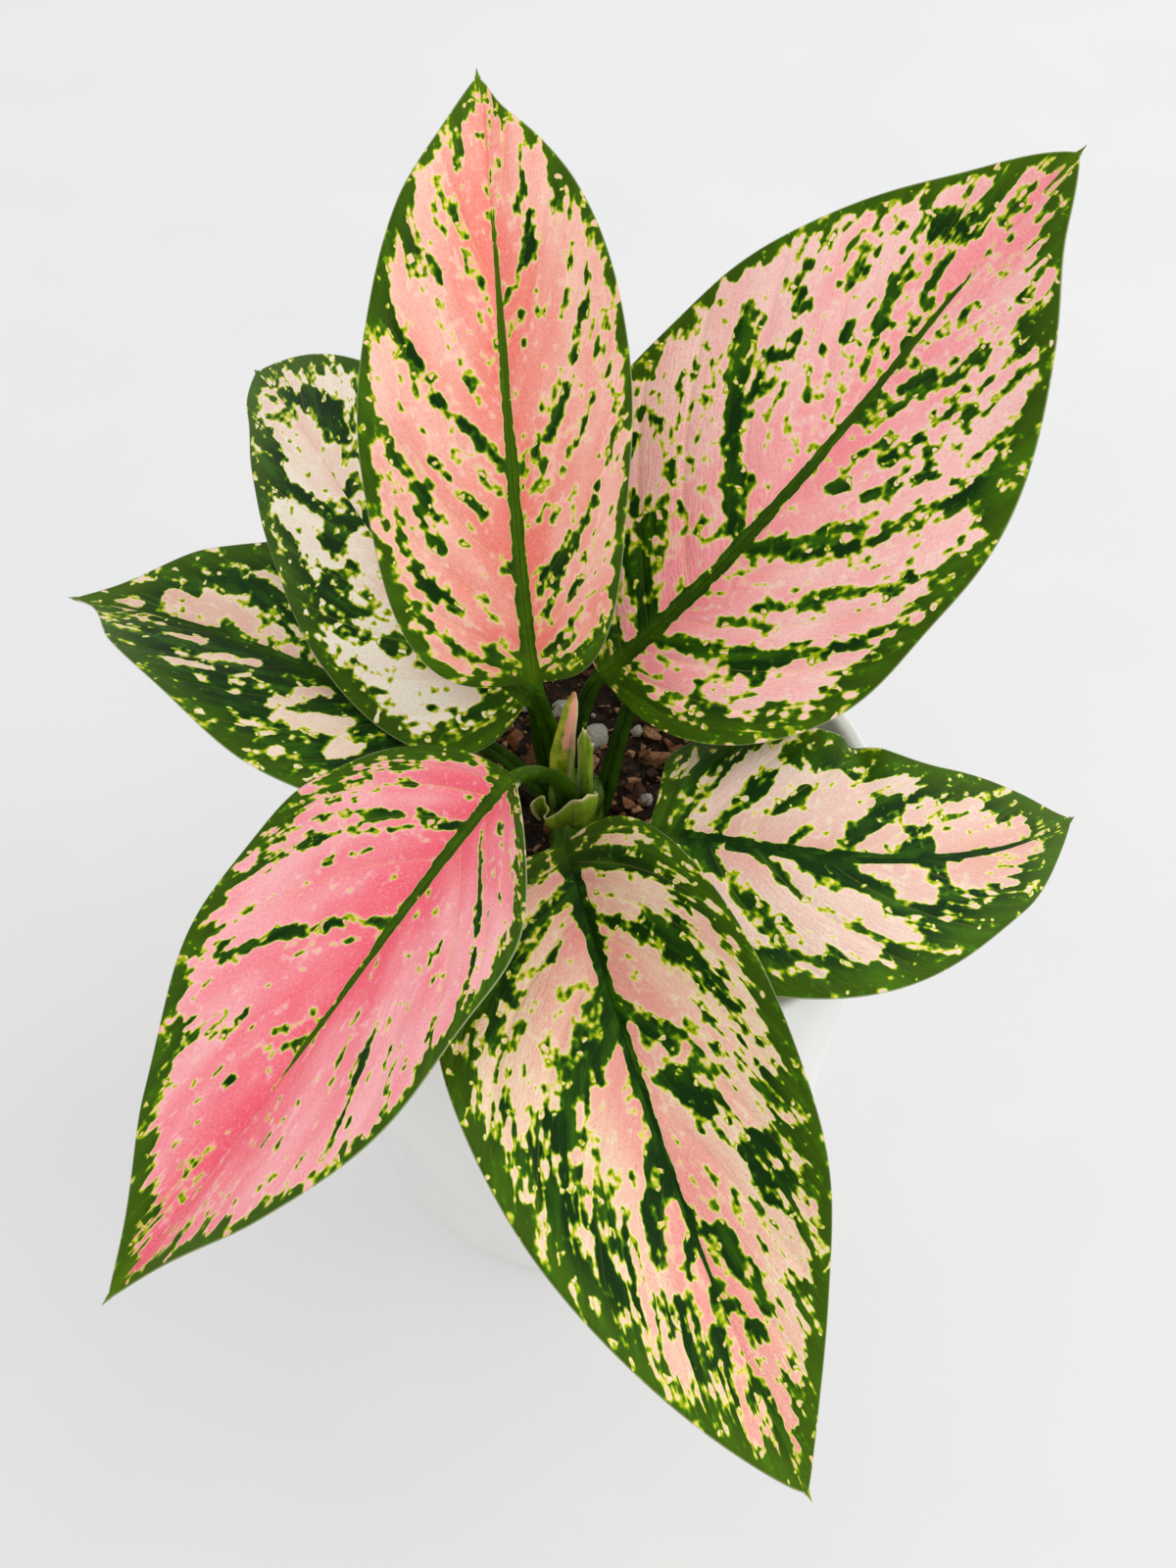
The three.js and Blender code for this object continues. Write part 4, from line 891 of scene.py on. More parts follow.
# %% [markdown]
# Now each leaf is put together. The blade and the stalk could be two objects, but they grew as one.
# So rings of points run from the foot of the stalk to the tip, each ring over the top and back along
# the underside. The underside has half as many columns, since it is seldom seen. A small drawn-out
# point closes the tip. The stalk is all green, without the patches and veins of the blade. A flat
# map of the leaf is kept as well, with its top and its back side by side, so that its colours can be
# baked into a picture later.

# %% Build the leaves
TIP_RINGS = ((0.7, 0.5), (1.3, 0.28), (1.8, 0.12))
TIP_REACH = 2.05
MAP_SPAN = 210
BLADE_WIDTH_ON_MAP = 100
STALK_ON_MAP = 68
MAP_MARGIN = 0.4
STALK_WAY = np.linspace(-62, -1, STALK_RINGS)
ON_STALK = dict(green=4, rim_mm=9, olive=0.45, torn=0, vein_shown=0, back=0)
SLOT_OF = {part["node"]: part["material_slot"] for part in frame["record"]["subparts"]}


def to_ring(upper, under, left, right):
    """Joins the two faces and the rims of every row into one closed ring per row."""
    return np.concatenate([upper, right[:, None], under[:, ::-2], left[:, None]], axis=1)


def leaf_rings(leaf, net):
    """The rings of a leaf from the foot of its stalk to its drawn-out tip, and the tip's own point."""
    upper, under, rims = blade_sides(leaf, net)
    blade = to_ring(upper, under, *rims)
    stalk = to_ring(*stalk_sides(leaf, upper, under, rims))
    middle = blade[-1].mean(0)
    forward = rib_frame(leaf, np.ones(1))[1][0]
    tip = [middle + (blade[-1] - middle) * size + forward * ahead for ahead, size in TIP_RINGS]
    return np.concatenate([stalk, blade, tip]), middle + forward * TIP_REACH


def on_whole_leaf(key, value):
    """One of the blade's numbers for every point of the leaf, its stalk and its tip included."""
    blade = to_ring(value, value + (key == "back"), value[:, 0], value[:, -1])
    stalk = np.repeat(blade[:1], STALK_RINGS, axis=0)
    if key in ON_STALK:
        stalk = np.full_like(stalk, ON_STALK[key])
    if key == "grain":
        stalk[..., 0] += STALK_WAY[:, None]
    if key == "rim_mm":
        blade[:, [2 * HALF_COLUMNS + 1, -1]] = 0
    tip = np.repeat(blade[-1:], len(TIP_RINGS), axis=0)
    rows = np.concatenate([stalk, blade, tip])
    flat = rows.reshape(-1, *rows.shape[2:])
    return np.concatenate([flat, flat[:1], flat[-1:]])


def leaf_map(leaf, net, faces, sides):
    """Each corner's place on a flat map: the top of the leaf on the left, its back on the right."""
    along, out = net["along"], SIDE * net["out"]
    along = to_ring(along, along, along[:, 0], along[:, -1])
    out = to_ring(out, out, out[:, 0] - MAP_MARGIN, out[:, -1] + MAP_MARGIN)
    stalk = np.repeat(STALK_WAY[:, None], sides, 1)
    along = np.concatenate([stalk, along, np.full((len(TIP_RINGS), sides), along[-1, 0] + 1)])
    out = np.concatenate([np.repeat(out[:1], STALK_RINGS, 0), out, np.repeat(out[-1:], len(TIP_RINGS), 0)])
    spots = np.stack([out.ravel(), along.ravel()], 1)
    spots = np.concatenate([spots, [[0, STALK_WAY[0] - 1], [0, leaf["length"] + 2]]])
    place = spots[[corner for face in faces for corner in face]]
    face = np.repeat(np.arange(len(faces)), [len(corners) for corners in faces])
    strip = face % sides
    is_side = face < len(faces) - 2 * sides
    is_back = is_side & (strip > 2 * HALF_COLUMNS) & (strip < sides - 1)
    front = 0.5 * BLADE_WIDTH_ON_MAP + place[:, 0]
    place[:, 0] = np.where(is_back, 2 * BLADE_WIDTH_ON_MAP - front, front)
    place[:, 1] += STALK_ON_MAP
    return place / MAP_SPAN


def build_leaf(name, seed):
    leaf, look = LEAVES[name], LOOKS[name]
    net = flat_net(leaf)
    rings, tip = leaf_rings(leaf, net)
    points, faces = lofted(rings, last=tip)
    values = leaf_values(leaf, net, look, seed)
    values = {key: on_whole_leaf(key, value) for key, value in values.items()}
    flat_map = leaf_map(leaf, net, faces, rings.shape[1])
    make_piece(name + "_blade", points, faces, LEAF_FINISH, name, SLOT_OF[name], values, flat_map)


for seed, name in enumerate(LEAVES, start=1):
    build_leaf(name, seed)

# %% [markdown]
# The pot is a plain turned vessel with a satin white glaze. It could be a cylinder with a bevel and
# a thickness added. But a potter shapes the profile, and so does this: a line that runs up the
# outside, over the soft lip and down the inside is turned in many steps, and the light runs cleanly
# along the lip. The glaze is almost one white, with a faint cloud and a grain too fine to see alone.

# %% Pot
RIM_RADIUS = 60
BASE_RADIUS = 50
POT_HEIGHT = 103
WALL = 4
FLOOR_THICKNESS = 6
LIP_ROUND = 1.6
FOOT_ROUND = 2
FLAT_DISC = 20
POT_STEPS = 144
SIDE_STEPS = 12
WALL_STEPS = 8


def corner_arc(centre, radius, start, end, steps=6):
    angles = np.radians(np.linspace(start, end, steps))
    return [[centre[0] + radius * np.cos(a), centre[1] + radius * np.sin(a)] for a in angles]


def turned(profile, steps):
    """Rings of points round the upright axis, one for each step of the profile."""
    angles = np.linspace(0, 2 * np.pi, steps, endpoint=False)
    r, z = np.array(profile, float).T
    x, y = r[:, None] * np.cos(angles), r[:, None] * np.sin(angles)
    return np.stack([x, y, np.repeat(z[:, None], steps, 1)], -1)


def pot_profile():
    """The line that is turned: under the base, up outside, over the lip and down inside."""
    outer = corner_arc((BASE_RADIUS - FOOT_ROUND, FOOT_ROUND), FOOT_ROUND, -90, 0)
    lip = corner_arc((RIM_RADIUS - LIP_ROUND, POT_HEIGHT - LIP_ROUND), LIP_ROUND, 0, 90)
    inner = corner_arc((RIM_RADIUS - WALL + LIP_ROUND, POT_HEIGHT - LIP_ROUND), LIP_ROUND, 90, 180)
    side = [[mix(BASE_RADIUS, RIM_RADIUS, s), mix(FOOT_ROUND, POT_HEIGHT - LIP_ROUND, s)]
            for s in np.linspace(0.05, 0.95, SIDE_STEPS)]
    wall = [[mix(RIM_RADIUS, BASE_RADIUS, s) - WALL, mix(POT_HEIGHT - LIP_ROUND, FLOOR_THICKNESS, s)]
            for s in np.linspace(0.1, 0.9, WALL_STEPS)]
    floor = [[BASE_RADIUS - WALL, FLOOR_THICKNESS], [FLAT_DISC, FLOOR_THICKNESS]]
    return [[FLAT_DISC, 0]] + outer + side + lip + inner + wall + floor


def pot_finish():
    f = Finish("white_glaze")
    place = f.place()
    cloud = f.noise(place, 18, detail=3)
    colour = f.blend(f.step(cloud, -1.5, 1.5), tone("#e8e8e5"), tone("#e4e5e2"))
    f.bump(f.noise(place, 1.1, detail=3), 0.012)
    return f.set(Base_Color=colour, Roughness=f.step(cloud, -1.5, 1.5, 0.3, 0.4))


pot_skin = lofted(turned(pot_profile(), POT_STEPS), (0, 0, 0), (0, 0, FLOOR_THICKNESS))
make_piece("white_pot", *pot_skin, pot_finish(), "pot", "pot_glaze")

# %% [markdown]
# The potting mix is dark, crumbly peat, with chips of bark and white grains of perlite in it. A flat
# disc with a bumpy finish would do from far away, but its edge at the pot would be a clean circle.
# So the disc itself is rough: its points are lifted by noise, in clods of a few millimetres, and the
# finish adds the crumbs that are too small for points. The loose chips and grains lie on it later.

# %% Soil
SOIL_LEVEL = 90
SOIL_WAVE = 1.6
BROAD_WAVE = (9, 11)
FINE_WAVE = (3.7, 4.3)
EDGE_FADE = 5
FIT_GAP = 0.3
STEM_AXIS = (-3, 3)
STEM_RADIUS = 5.7
SOIL_RINGS = 110
SOIL_STEPS = 300
SOIL_DEPTH = 14
INNERMOST = 0.6
CLOD_SIZE = 3.2
CLOD_HEIGHT = 1.1
CLOD_LAYER = 5
CLOD_FRACTAL = (0.8, 2.1, 4)
CLOD_FADE = 3
CLOD_SINK = 0.4


def inner_radius(z):
    """The radius of the soil at a height, just clear of the pot's inner wall."""
    lean = (RIM_RADIUS - BASE_RADIUS) / POT_HEIGHT
    return BASE_RADIUS - WALL - FIT_GAP + lean * (z - FLOOR_THICKNESS - FIT_GAP)


SOIL_RADIUS = inner_radius(SOIL_LEVEL)


def soil_height(x, y):
    """The height of the soil, with the same gentle waves as in the solids."""
    broad = np.sin(x / BROAD_WAVE[0] + 1) * np.cos(y / BROAD_WAVE[1])
    fine = np.sin(x / FINE_WAVE[0] - y / FINE_WAVE[1])
    inner = clamp01((SOIL_RADIUS - np.hypot(x, y)) / EDGE_FADE)
    return SOIL_LEVEL + SOIL_WAVE * (broad + fine / 2) * inner


def soil_finish():
    f = Finish("damp_peat")
    place = f.place()
    crumbs = f.noise(place, 2.2, detail=5, rough=0.7)
    browns = [(0, tone("#0d0704")), (0.5, tone("#2b1a0d")), (1, tone("#6b4326"))]
    colour = f.ramp(f.step(crumbs, -2, 2), browns)
    f.bump(crumbs, 0.5)
    return f.set(Base_Color=colour, Roughness=f.step(crumbs, -2, 2, 0.75, 0.95))


angles = np.linspace(0, 2 * np.pi, SOIL_STEPS, endpoint=False)
soil_rings = []
for radius in np.linspace(SOIL_RADIUS, INNERMOST, SOIL_RINGS):
    x, y = radius * np.cos(angles), radius * np.sin(angles)
    spots = [Vector((a / CLOD_SIZE, b / CLOD_SIZE, CLOD_LAYER)) for a, b in zip(x, y)]
    clods = np.array([noise.fractal(spot, *CLOD_FRACTAL) for spot in spots])
    lift = CLOD_HEIGHT * clods * clamp01((SOIL_RADIUS - radius) / CLOD_FADE)
    soil_rings.append(np.stack([x, y, soil_height(x, y) + lift - CLOD_SINK], 1))
foot_ring = soil_rings[0].copy()
foot_ring[:, 2] = SOIL_LEVEL - SOIL_DEPTH
soil_skin = lofted([foot_ring, *soil_rings], (0, 0, SOIL_LEVEL - SOIL_DEPTH), (0, 0, SOIL_LEVEL))
make_piece("peat", *soil_skin, soil_finish(), "soil", "potting_mix")

# %% [markdown]
# The mix is full of small loose things: sharp chips of bark, crumbs, and soft white perlite. They
# could be particles of a few models, but then the same chip would be seen over and over. Here every
# one is made anew. A chip is the hull of a few random points, which gives the sharp broken faces of
# bark. A grain of perlite is a ball that noise has swollen and pitted. All the lumps of a kind are
# gathered in one heap, because more than a thousand objects would make Blender slow.

# %% Lumps and heaps
DICE_SEED = 4
NEAR_FACE = 0.55
BULGE = (1.3, 0.35)
PITS = (4, 0.12)

dice = np.random.default_rng(DICE_SEED)


def turn_matrix(degrees):
    """Turns about X, then Y, then Z."""
    a, b, c = np.radians(degrees)
    about_x = np.array([[1, 0, 0], [0, np.cos(a), -np.sin(a)], [0, np.sin(a), np.cos(a)]])
    about_y = np.array([[np.cos(b), 0, np.sin(b)], [0, 1, 0], [-np.sin(b), 0, np.cos(b)]])
    about_z = np.array([[np.cos(c), -np.sin(c), 0], [np.sin(c), np.cos(c), 0], [0, 0, 1]])
    return about_z @ about_y @ about_x


def read_out(mesh):
    """The points and the faces of a mesh in the making, which is then thrown away."""
    mesh.verts.index_update()
    points = np.array([v.co[:] for v in mesh.verts])
    faces = [[v.index for v in f.verts] for f in mesh.faces]
    mesh.free()
    return points, faces


def broken_lump(sizes, corners):
    """An angular lump that fills a box: points near a face of the box are pushed out to it."""
    mesh = bmesh.new()
    spots = dice.uniform(-1, 1, (corners, 3))
    spots = spots / np.abs(spots).max(0)
    on_face = np.sign(spots) * mix(0.8, 1, dice.random((corners, 3)))
    spots = np.where(np.abs(spots) > NEAR_FACE, on_face, spots)
    for spot in spots * np.array(sizes) / 2:
        mesh.verts.new(spot)
    hull = bmesh.ops.convex_hull(mesh, input=mesh.verts)
    bmesh.ops.delete(mesh, geom=list(set(hull["geom_interior"] + hull["geom_unused"])), context="VERTS")
    return read_out(mesh)


def round_grain(radius):
    """A rounded, pitted grain."""
    mesh = bmesh.new()
    bmesh.ops.create_icosphere(mesh, subdivisions=3, radius=radius)
    offset = Vector(dice.uniform(-50, 50, 3))
    for vertex in mesh.verts:
        spot = vertex.co / radius
        bulge, pits = (noise.noise(spot * rate + offset) * depth for rate, depth in (BULGE, PITS))
        vertex.co *= 1 + bulge + pits
    return read_out(mesh)


class Heap:
    """Many small lumps gathered into one mesh. Each lump has a random number of its own."""

    def __init__(self):
        self.points, self.faces, self.own = [], [], []

    def add(self, points, faces):
        first = len(self.own)
        self.points.append(points)
        self.faces += [[i + first for i in face] for face in faces]
        self.own += [dice.random()] * len(points)

    def make(self, name, finish):
        points = np.concatenate(self.points)
        return make_piece(name, points, self.faces, finish, "soil", "potting_mix", {"own": self.own})


bark, perlite = Heap(), Heap()

# %% [markdown]
# The solids have the largest chips and grains already. If the finished ones were scattered anew, the
# two models would differ by whole lumps. So these first ones are drawn from the same simple row of
# random numbers, in the same order, and land in the same places with the same sizes.

# %% The large chips and grains
CHIP_COUNT = 26
CHIP_SIZES = ((6, 13), (4, 8), (3, 5))
CHIP_CORNERS = 26
GRAIN_COUNT = 16
GRAIN_RADII = (1.8, 3.2)
GRAIN_STRETCH = (1.2, 1, 0.9)
GRAIN_LIFT = 0.5
SCATTER_SEED = 11
SCATTER_TILT = 20
SCATTER_RADIUS = 48


def row_of_shares(state):
    """The same row of random numbers from 0 to 1 as the solids were scattered with."""
    while True:
        state = (state * 1664525 + 1013904223) % 2 ** 32
        yield state / 2 ** 32


shares = row_of_shares(SCATTER_SEED)


def within(low, high):
    return mix(low, high, next(shares))


def drawn_place(lift):
    """The turn and the place of the next chip or grain of the solids."""
    radius = SCATTER_RADIUS * np.sqrt(next(shares))
    angle = 2 * np.pi * next(shares)
    x, y = radius * np.cos(angle), radius * np.sin(angle)
    turn = [SCATTER_TILT * within(-1, 1), SCATTER_TILT * within(-1, 1), 360 * next(shares)]
    return turn_matrix(turn), np.array([x, y, soil_height(x, y) + lift])


for _ in range(CHIP_COUNT):
    sizes = [within(*pair) for pair in CHIP_SIZES]
    turn, place = drawn_place(0)
    lump, lump_faces = broken_lump(sizes, CHIP_CORNERS)
    bark.add(lump @ turn.T + place, lump_faces)
for _ in range(GRAIN_COUNT):
    radius = within(*GRAIN_RADII)
    turn, place = drawn_place(GRAIN_LIFT)
    lump, lump_faces = round_grain(radius)
    perlite.add(lump * GRAIN_STRETCH @ turn.T + place, lump_faces)
print(CHIP_COUNT, "large chips and", GRAIN_COUNT, "large grains")

# %% [markdown]
# Between the large chips lies what no one would place by hand: more than a thousand small chips and
# crumbs, and a few dozen small grains. Their places are drawn evenly over the soil, off the stem.
# Squaring the random number makes small ones common and large ones rare, as in a real mix. Bark
# breaks along its fibres, so its finish is streaked one way. Each chip has a brown of its own, and
# its faces are shaded flat. Perlite is nearly white, with greyer pits.

# %% Loose crumbs over the soil
CHIPS = dict(count=280, sizes=(3, 8), corners=14, lift=0.6)
CRUMBS = dict(count=1300, sizes=(0.9, 3), corners=8, lift=0.3)
LOOSE_TILT = 30
CLEAR_SHARE = 0.55
LEAST_SIDE = 0.45
LIFT_SHARE = 0.2
LOOSE_FLATNESS = (1, 0.8, 0.5)
SMALL_GRAINS = 40
SMALL_RADII = (0.5, 1.7)
SMALL_LIFT = 0.4


def on_soil(margin):
    """A random place on the soil, off the stem."""
    while True:
        radius = (SOIL_RADIUS - margin) * np.sqrt(dice.random())
        angle = 2 * np.pi * dice.random()
        x, y = radius * np.cos(angle), radius * np.sin(angle)
        if np.hypot(x - STEM_AXIS[0], y - STEM_AXIS[1]) > STEM_RADIUS + margin:
            return x, y


for kind in (CHIPS, CRUMBS):
    for _ in range(kind["count"]):
        size = mix(*kind["sizes"], dice.random() ** 2)
        x, y = on_soil(size * CLEAR_SHARE)
        sizes = size * dice.uniform(LEAST_SIDE, 1, 3) * LOOSE_FLATNESS
        lump, lump_faces = broken_lump(sizes, kind["corners"])
        turn = turn_matrix([*dice.uniform(-LOOSE_TILT, LOOSE_TILT, 2), 360 * dice.random()])
        lift = sizes[2] * LIFT_SHARE + kind["lift"]
        bark.add(lump @ turn.T + [x, y, soil_height(x, y) + lift], lump_faces)
for _ in range(SMALL_GRAINS):
    radius = mix(*SMALL_RADII, dice.random() ** 2)
    x, y = on_soil(radius)
    lump, lump_faces = round_grain(radius)
    perlite.add(lump + [x, y, soil_height(x, y) + SMALL_LIFT + radius * SMALL_LIFT], lump_faces)


def bark_finish():
    f = Finish("bark_chips")
    place = f.place()
    own = f.attribute("own")
    fibre = f.noise(f.stretched(place, (1, 1, 0.35)), 0.8, detail=4, rough=0.65)
    tint = f.maths("MULTIPLY_ADD", fibre, 0.14, own)
    browns = [(0, tone("#2a180d")), (0.35, tone("#6a3c20")), (0.7, tone("#a8683c")), (1, tone("#dba982"))]
    colour = f.ramp(tint, browns)
    f.bump(fibre, 0.25)
    return f.set(Base_Color=colour, Roughness=f.step(fibre, -1, 1, 0.7, 0.9))


def perlite_finish():
    f = Finish("perlite")
    place = f.place()
    pits = f.noise(place, 0.5, detail=4, rough=0.7)
    colour = f.blend(f.step(pits, -1.6, 0.6), tone("#b7ab98"), tone("#f4f0e8"))
    f.bump(pits, 0.2)
    return f.set(Base_Color=colour, Roughness=f.step(pits, -1, 1, 0.7, 0.9))


bark.make("bark_chips", bark_finish()).data.shade_flat()
perlite.make("perlite_grains", perlite_finish())

# %% [markdown]
# The stem is a short green column with a ring for every leaf that has fallen. It hardly shows
# between the stalks, but it carries them all. It could be sculpted, but the rings are level and even,
# so it is turned like the pot, with a wave in its profile. Its skin is that of all the young green
# parts: streaks that run upwards over a broad cloud of lighter and darker green. So that skin is
# written once, for the sheaths and the rolled leaf as well.

# %% Stem
STEM_TOP = 108
STEM_ROOT = 76
STEM_LEVELS = 96
STEM_STEPS = 48
RING_SPACING = 5
RING_DEPTH = 0.4
TOP_ROUND = 1.5
TOP_TAPER = 0.5


def streaks_and_cloud(f, stretch, streak_size, cloud_size):
    """Two noises of a young green skin: streaks that run up the piece, and broad light and shade."""
    place = f.place()
    streaks = f.noise(f.stretched(place, (1, 1, stretch)), streak_size, detail=3)
    return streaks, f.noise(place, cloud_size, detail=3)


def satin(f, colour, streaks, cloud, relief, shine):
    """Lays a colour on a young green skin, smooth to the touch, with faint ridges along the streaks."""
    f.bump(streaks, relief)
    return f.set(Base_Color=colour, Roughness=f.step(cloud, -1, 1, 0.35, 0.5), Specular_IOR_Level=shine)


def stem_finish():
    f = Finish("stem_skin")
    streaks, cloud = streaks_and_cloud(f, 0.15, 0.8, 4)
    mixed = f.step(f.maths("MULTIPLY_ADD", streaks, 0.5, cloud), -1.4, 1.4)
    return satin(f, f.blend(mixed, tone("#2b4706"), tone("#567812")), streaks, cloud, 0.04, 0.2)


stem_profile = []
for z in np.linspace(STEM_ROOT, STEM_TOP, STEM_LEVELS):
    ring = np.cos(2 * np.pi * (z - SOIL_LEVEL) / RING_SPACING)
    taper = 1 - TOP_TAPER * soft_step(z, STEM_TOP - TOP_ROUND, STEM_TOP) ** 2
    stem_profile.append([(STEM_RADIUS - RING_DEPTH * (0.5 - ring / 2)) * taper, z])
stem_rings = turned(stem_profile, STEM_STEPS) + [*STEM_AXIS, 0]
stem_skin = lofted(stem_rings, (*STEM_AXIS, STEM_ROOT), (*STEM_AXIS, STEM_TOP))
make_piece("short_stem", *stem_skin, stem_finish(), "stem", "green_stem")

# %% [markdown]
# In the middle of the crown stand the young parts: a rolled leaf like a spear, light green with a
# pink side, and the pale sheaths of the stalks. Their lines are soft curves. Each one is given by a
# few points, and a small helper draws a smooth curve through all of them.

# %% Curves through points
def through_points(points, share):
    """A smooth line through points, at a share from 0 to 1 of its way (a centripetal spline)."""
    points = np.asarray(points, float)
    last = len(points) - 1
    place = share * last
    k = min(int(place), last - 1)
    w = place - k
    b, c = points[k], points[k + 1]
    a = points[k - 1] if k > 0 else 2 * points[0] - points[1]
    d = points[k + 2] if k + 2 <= last else 2 * points[last] - points[last - 1]
    before, middle, after = (max(np.linalg.norm(q - p) ** 0.5, 1e-4) for p, q in ((a, b), (b, c), (c, d)))
    leave = ((b - a) / before - (c - a) / (before + middle) + (c - b) / middle) * middle
    arrive = ((c - b) / middle - (d - b) / (middle + after) + (d - c) / after) * middle
    bend = 3 * (c - b) - 2 * leave - arrive
    twist = 2 * (b - c) + leave + arrive
    return b + leave * w + bend * w ** 2 + twist * w ** 3

# %% [markdown]
# A sheath is the thin sleeve at the foot of a stalk, which once wrapped the next leaf. It could be a
# bent strip with some thickness added, but then its rim would be level. Here it stands on a curved
# plan, drawn in at its foot, and a row of heights says how high its thin, nearly white rim rises.

# %% Sheaths
SHEATH_WALL = 0.55
SHEATH_EDGE = 0.25
SHEATH_STEPS = 120
SHEATH_LEVELS = 40
A_LITTLE = 0.002
FLARE = 0.35
FLARE_RATE = 40
FREE_END = 0.06
RIM_FROM = 0.9


def sheath_sides(plan, rim, foot, waist):
    """The inner and outer face of a thin upright sheath, columns along its plan by levels up."""
    plan = [(*p, 0) for p in plan]
    heights = [(0, 0, z) for z in rim]
    axis = np.array([*STEM_AXIS, 0])
    faces = [[], []]
    for i in range(SHEATH_STEPS + 1):
        at = i / SHEATH_STEPS
        spot = through_points(plan, at)
        ahead = through_points(plan, min(at + A_LITTLE, 1)) - through_points(plan, max(at - A_LITTLE, 0))
        out = unit(np.array([ahead[1], -ahead[0], 0]))
        top = through_points(heights, at)[2]
        for k, side in enumerate((-1, 1)):
            column = []
            for h in np.linspace(0, 1, SHEATH_LEVELS):
                drawn = mix(waist, 1, np.sin(h * np.pi / 2))
                place = (spot - axis) * drawn + axis
                place[2] = mix(foot, top, h)
                flare = FLARE * h ** 6 * np.sin(at * FLARE_RATE)
                wall = mix(SHEATH_WALL, SHEATH_EDGE, h ** 3)
                column.append(place + out * (side * wall / 2 + flare))
            faces[k].append(column)
    return np.array(faces)


def sheath_mesh(plan, rim, foot, waist):
    """One closed mesh of a sheath, and for each point its level and how pale it is."""
    inner, outer = sheath_sides(plan, rim, foot, waist)
    rings = np.concatenate([inner, outer[:, ::-1]], axis=1)
    level = np.concatenate([np.linspace(0, 1, SHEATH_LEVELS), np.linspace(1, 0, SHEATH_LEVELS)])
    at = np.linspace(0, 1, SHEATH_STEPS + 1)[:, None]
    ends = np.maximum(1 - at / FREE_END, 1 - (1 - at) / FREE_END)
    level, ends = np.broadcast_arrays(level, ends)
    pale = np.maximum(soft_step(level, RIM_FROM, 1), soft_step(ends, 0, 1))
    values = {
        "pale": np.concatenate([pale.ravel(), [1, 1]]),
        "level": np.concatenate([level.ravel(), [0.5, 0.5]]),
    }
    return *lofted(rings), values


def sheath_finish(name, low, high, rim):
    f = Finish(name)
    streaks, cloud = streaks_and_cloud(f, 0.12, 0.7, 3)
    up = f.maths("MULTIPLY_ADD", cloud, 0.2, f.attribute("level"))
    colour = f.blend(f.step(up, -0.1, 1.1), tone(low), tone(high))
    colour = f.blend(f.step(streaks, 0, 2, 0, 0.3), colour, tone("#b7c66a"))
    return satin(f, f.blend(f.attribute("pale"), colour, tone(rim)), streaks, cloud, 0.05, 0.25)


FRONT_SHEATH = dict(
    plan=[[0.9, -2.5], [1, -4.6], [-0.4, -7.2], [-2.8, -8.6], [-5.5, -8.6], [-7.7, -7.6], [-9, -5.9],
          [-8.6, -4], [-9.3, -2.6], [-10.8, -2.2], [-11.9, -3.2]],
    rim=[112.5, 114.5, 117, 117.5, 115, 111, 108.8, 109.6, 110.6, 110.4, 108.4], foot=103, waist=0.84)
ROLLED_SHEATH = dict(
    plan=[[-2.2, -1.2], [-1.6, -1.9], [-0.5, -1.9], [0.1, -0.8], [-0.4, 0.5], [-1.5, 0.9], [-2.5, 0.3]],
    rim=[126.5, 131, 129, 125, 125, 126, 124.5], foot=108.3, waist=1)

points, faces, values = sheath_mesh(**FRONT_SHEATH)
front_skin = sheath_finish("front_sheath_skin", "#2c5004", "#84a020", "#cfc48a")
make_piece("front_sheath", points, faces, front_skin, "leaf_front", "marbled_leaf", values)
points, faces, values = sheath_mesh(**ROLLED_SHEATH)
rolled_skin = sheath_finish("rolled_sheath_skin", "#4c7410", "#8aa428", "#c4bf86")
make_piece("rolled_sheath_skin", points, faces, rolled_skin, "rolled_sheath", "young_leaf", values)

# %% [markdown]
# The youngest leaf is still rolled up, like a sheet of paper wound once round itself. It could be a
# plain cone, but the edge of the sheet is what one sees of it. So each ring runs once round the
# leaf and ends a little further in than it began, which leaves that edge standing.
# Light green turns to pink on the side that faces the light, the tip is dried brown, and the
# standing edge is pale.

# %% Spear
SPEAR_PATH = ((-5.4, 2, 108.3), (-6, 2.2, 114), (-5.4, 2.4, 122), (-4.2, 2.7, 130), (-3.3, 3, 135.5))
SPEAR_RADII = (1.6, 2.3, 2.8, 2.8, 2.4, 2, 1.7, 1.25, 0.45)
SPEAR_EDGE = -60
SPEAR_WINDING = 0.12
SPEAR_STEP = 0.3
SPEAR_TURN = 0.98
SPEAR_RINGS = 90
SPEAR_SIDES = 60
PINK_SIDE = -35
PINK_ROUND = (-0.1, 0.6)
PINK_FROM = (0.35, 0.6)
EDGE_WIDTH = 0.03
EDGE_PALENESS = 0.8

share = np.linspace(0, 1, SPEAR_SIDES)
spear_rings, spear_pink = [], []
for up in np.linspace(0, 1, SPEAR_RINGS):
    centre = through_points(SPEAR_PATH, up)
    radius = np.interp(up, np.linspace(0, 1, len(SPEAR_RADII)), SPEAR_RADII)
    start = np.radians(SPEAR_EDGE) + SPEAR_WINDING * up * (len(SPEAR_RADII) - 1)
    angle = start + 2 * np.pi * share * SPEAR_TURN
    reach = radius * (1 - SPEAR_STEP * share)
    spear_rings.append(centre + np.stack([np.cos(angle) * reach, np.sin(angle) * reach, 0 * reach], 1))
    turned_to = np.cos(angle - np.radians(PINK_SIDE))
    spear_pink.append(soft_step(turned_to, *PINK_ROUND) * soft_step(up, *PINK_FROM))
pale_edge = EDGE_PALENESS * (1 - soft_step(share, 0, EDGE_WIDTH))
spear_values = {
    "pinkish": np.concatenate([*spear_pink, [0, 0]]),
    "height": np.concatenate([np.repeat(np.linspace(0, 1, SPEAR_RINGS), SPEAR_SIDES), [0, 1]]),
    "pale": np.concatenate([np.tile(pale_edge, SPEAR_RINGS), [0, 0]]),
}


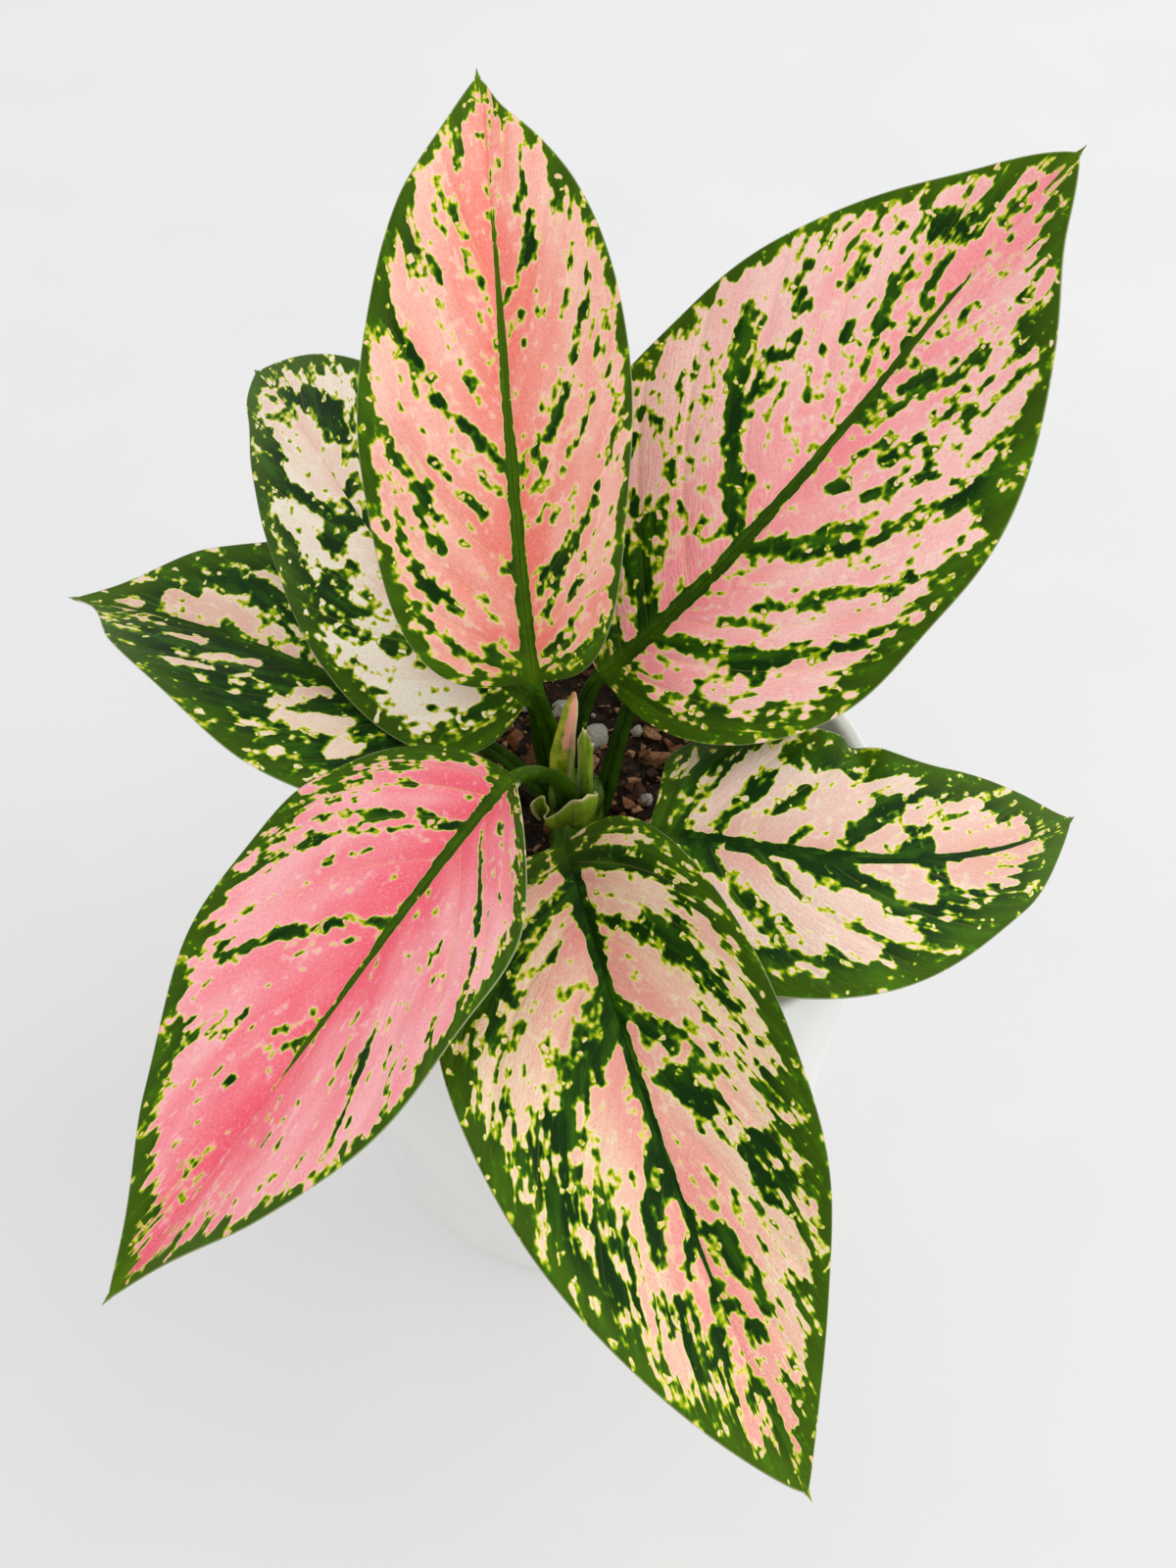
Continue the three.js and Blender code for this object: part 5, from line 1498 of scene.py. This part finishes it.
def spear_finish():
    f = Finish("spear_skin")
    streaks, cloud = streaks_and_cloud(f, 0.15, 0.6, 2.5)
    pinkish = f.maths("MULTIPLY_ADD", cloud, 0.25, f.attribute("pinkish"))
    colour = f.blend(f.step(cloud, -1.2, 1.2), tone("#718c0c"), tone("#b4b92e"))
    colour = f.blend(f.step(pinkish, 0.3, 0.75), colour, tone("#f0a68c"))
    colour = f.blend(f.step(f.attribute("height"), 0.9, 1, 0, 0.8), colour, tone("#a9764a"))
    colour = f.blend(f.attribute("pale"), colour, tone("#d9dcae"))
    return satin(f, colour, streaks, cloud, 0.05, 0.25)


make_piece("rolled_leaf", *lofted(spear_rings), spear_finish(), "spear", "young_leaf", spear_values)

# %% [markdown]
# The plant stands on a plain pale floor that runs out of sight. Three lamps round it would give it
# three sets of shadows. A big window is kinder: soft light falls from the upper right through one
# large panel, and an even bright sky fills the shadows. The floor glows a little of its own, so that
# it comes out as pale as a photographer's paper without more light on the leaves.

# %% Floor and light
FLOOR_REACH = 20
FLOOR_GLOW = 0.36
SKY_COLOUR = (0.98, 0.99, 1, 1)
SKY_STRENGTH = 0.97
WINDOW_PLACE = (1, 0.1, 0.85)
WINDOW_AIM = (0, 0, 0.1)
WINDOW_SIZE = (1.2, 1)
WINDOW_POWER = 8
WINDOW_COLOUR = (1, 0.99, 0.97)

floor_mesh = bpy.data.meshes.new("floor")
floor_corners = [(x * FLOOR_REACH, y * FLOOR_REACH, 0) for x, y in ((-1, -1), (1, -1), (1, 1), (-1, 1))]
floor_mesh.from_pydata(floor_corners, [], [(0, 1, 2, 3)])
floor = bpy.data.objects.new("floor", floor_mesh)
bpy.context.scene.collection.objects.link(floor)


def floor_finish():
    f = Finish("pale_floor")
    cloud = f.noise(f.place(), 60, detail=3)
    colour = f.blend(f.step(cloud, -1.5, 1.5), tone("#a6a7a8"), tone("#aaaaa9"))
    f.set(Emission_Color=(1, 1, 0.99, 1), Emission_Strength=FLOOR_GLOW)
    return f.set(Base_Color=colour, Roughness=0.6)


floor_mesh.materials.append(floor_finish())

world = bpy.data.worlds.new("bright_room")
world.use_nodes = True
sky = world.node_tree.nodes["Background"].inputs
sky["Color"].default_value = SKY_COLOUR
sky["Strength"].default_value = SKY_STRENGTH
bpy.context.scene.world = world

window = bpy.data.lights.new("window", "AREA")
window.shape = "RECTANGLE"
window.size, window.size_y = WINDOW_SIZE
window.energy = WINDOW_POWER
window.color = WINDOW_COLOUR
panel = bpy.data.objects.new("window", window)
bpy.context.scene.collection.objects.link(panel)
panel.location = WINDOW_PLACE
panel.rotation_euler = (Vector(WINDOW_AIM) - Vector(WINDOW_PLACE)).to_track_quat("-Z", "Y").to_euler()
bpy.context.scene.view_settings.view_transform = "Standard"
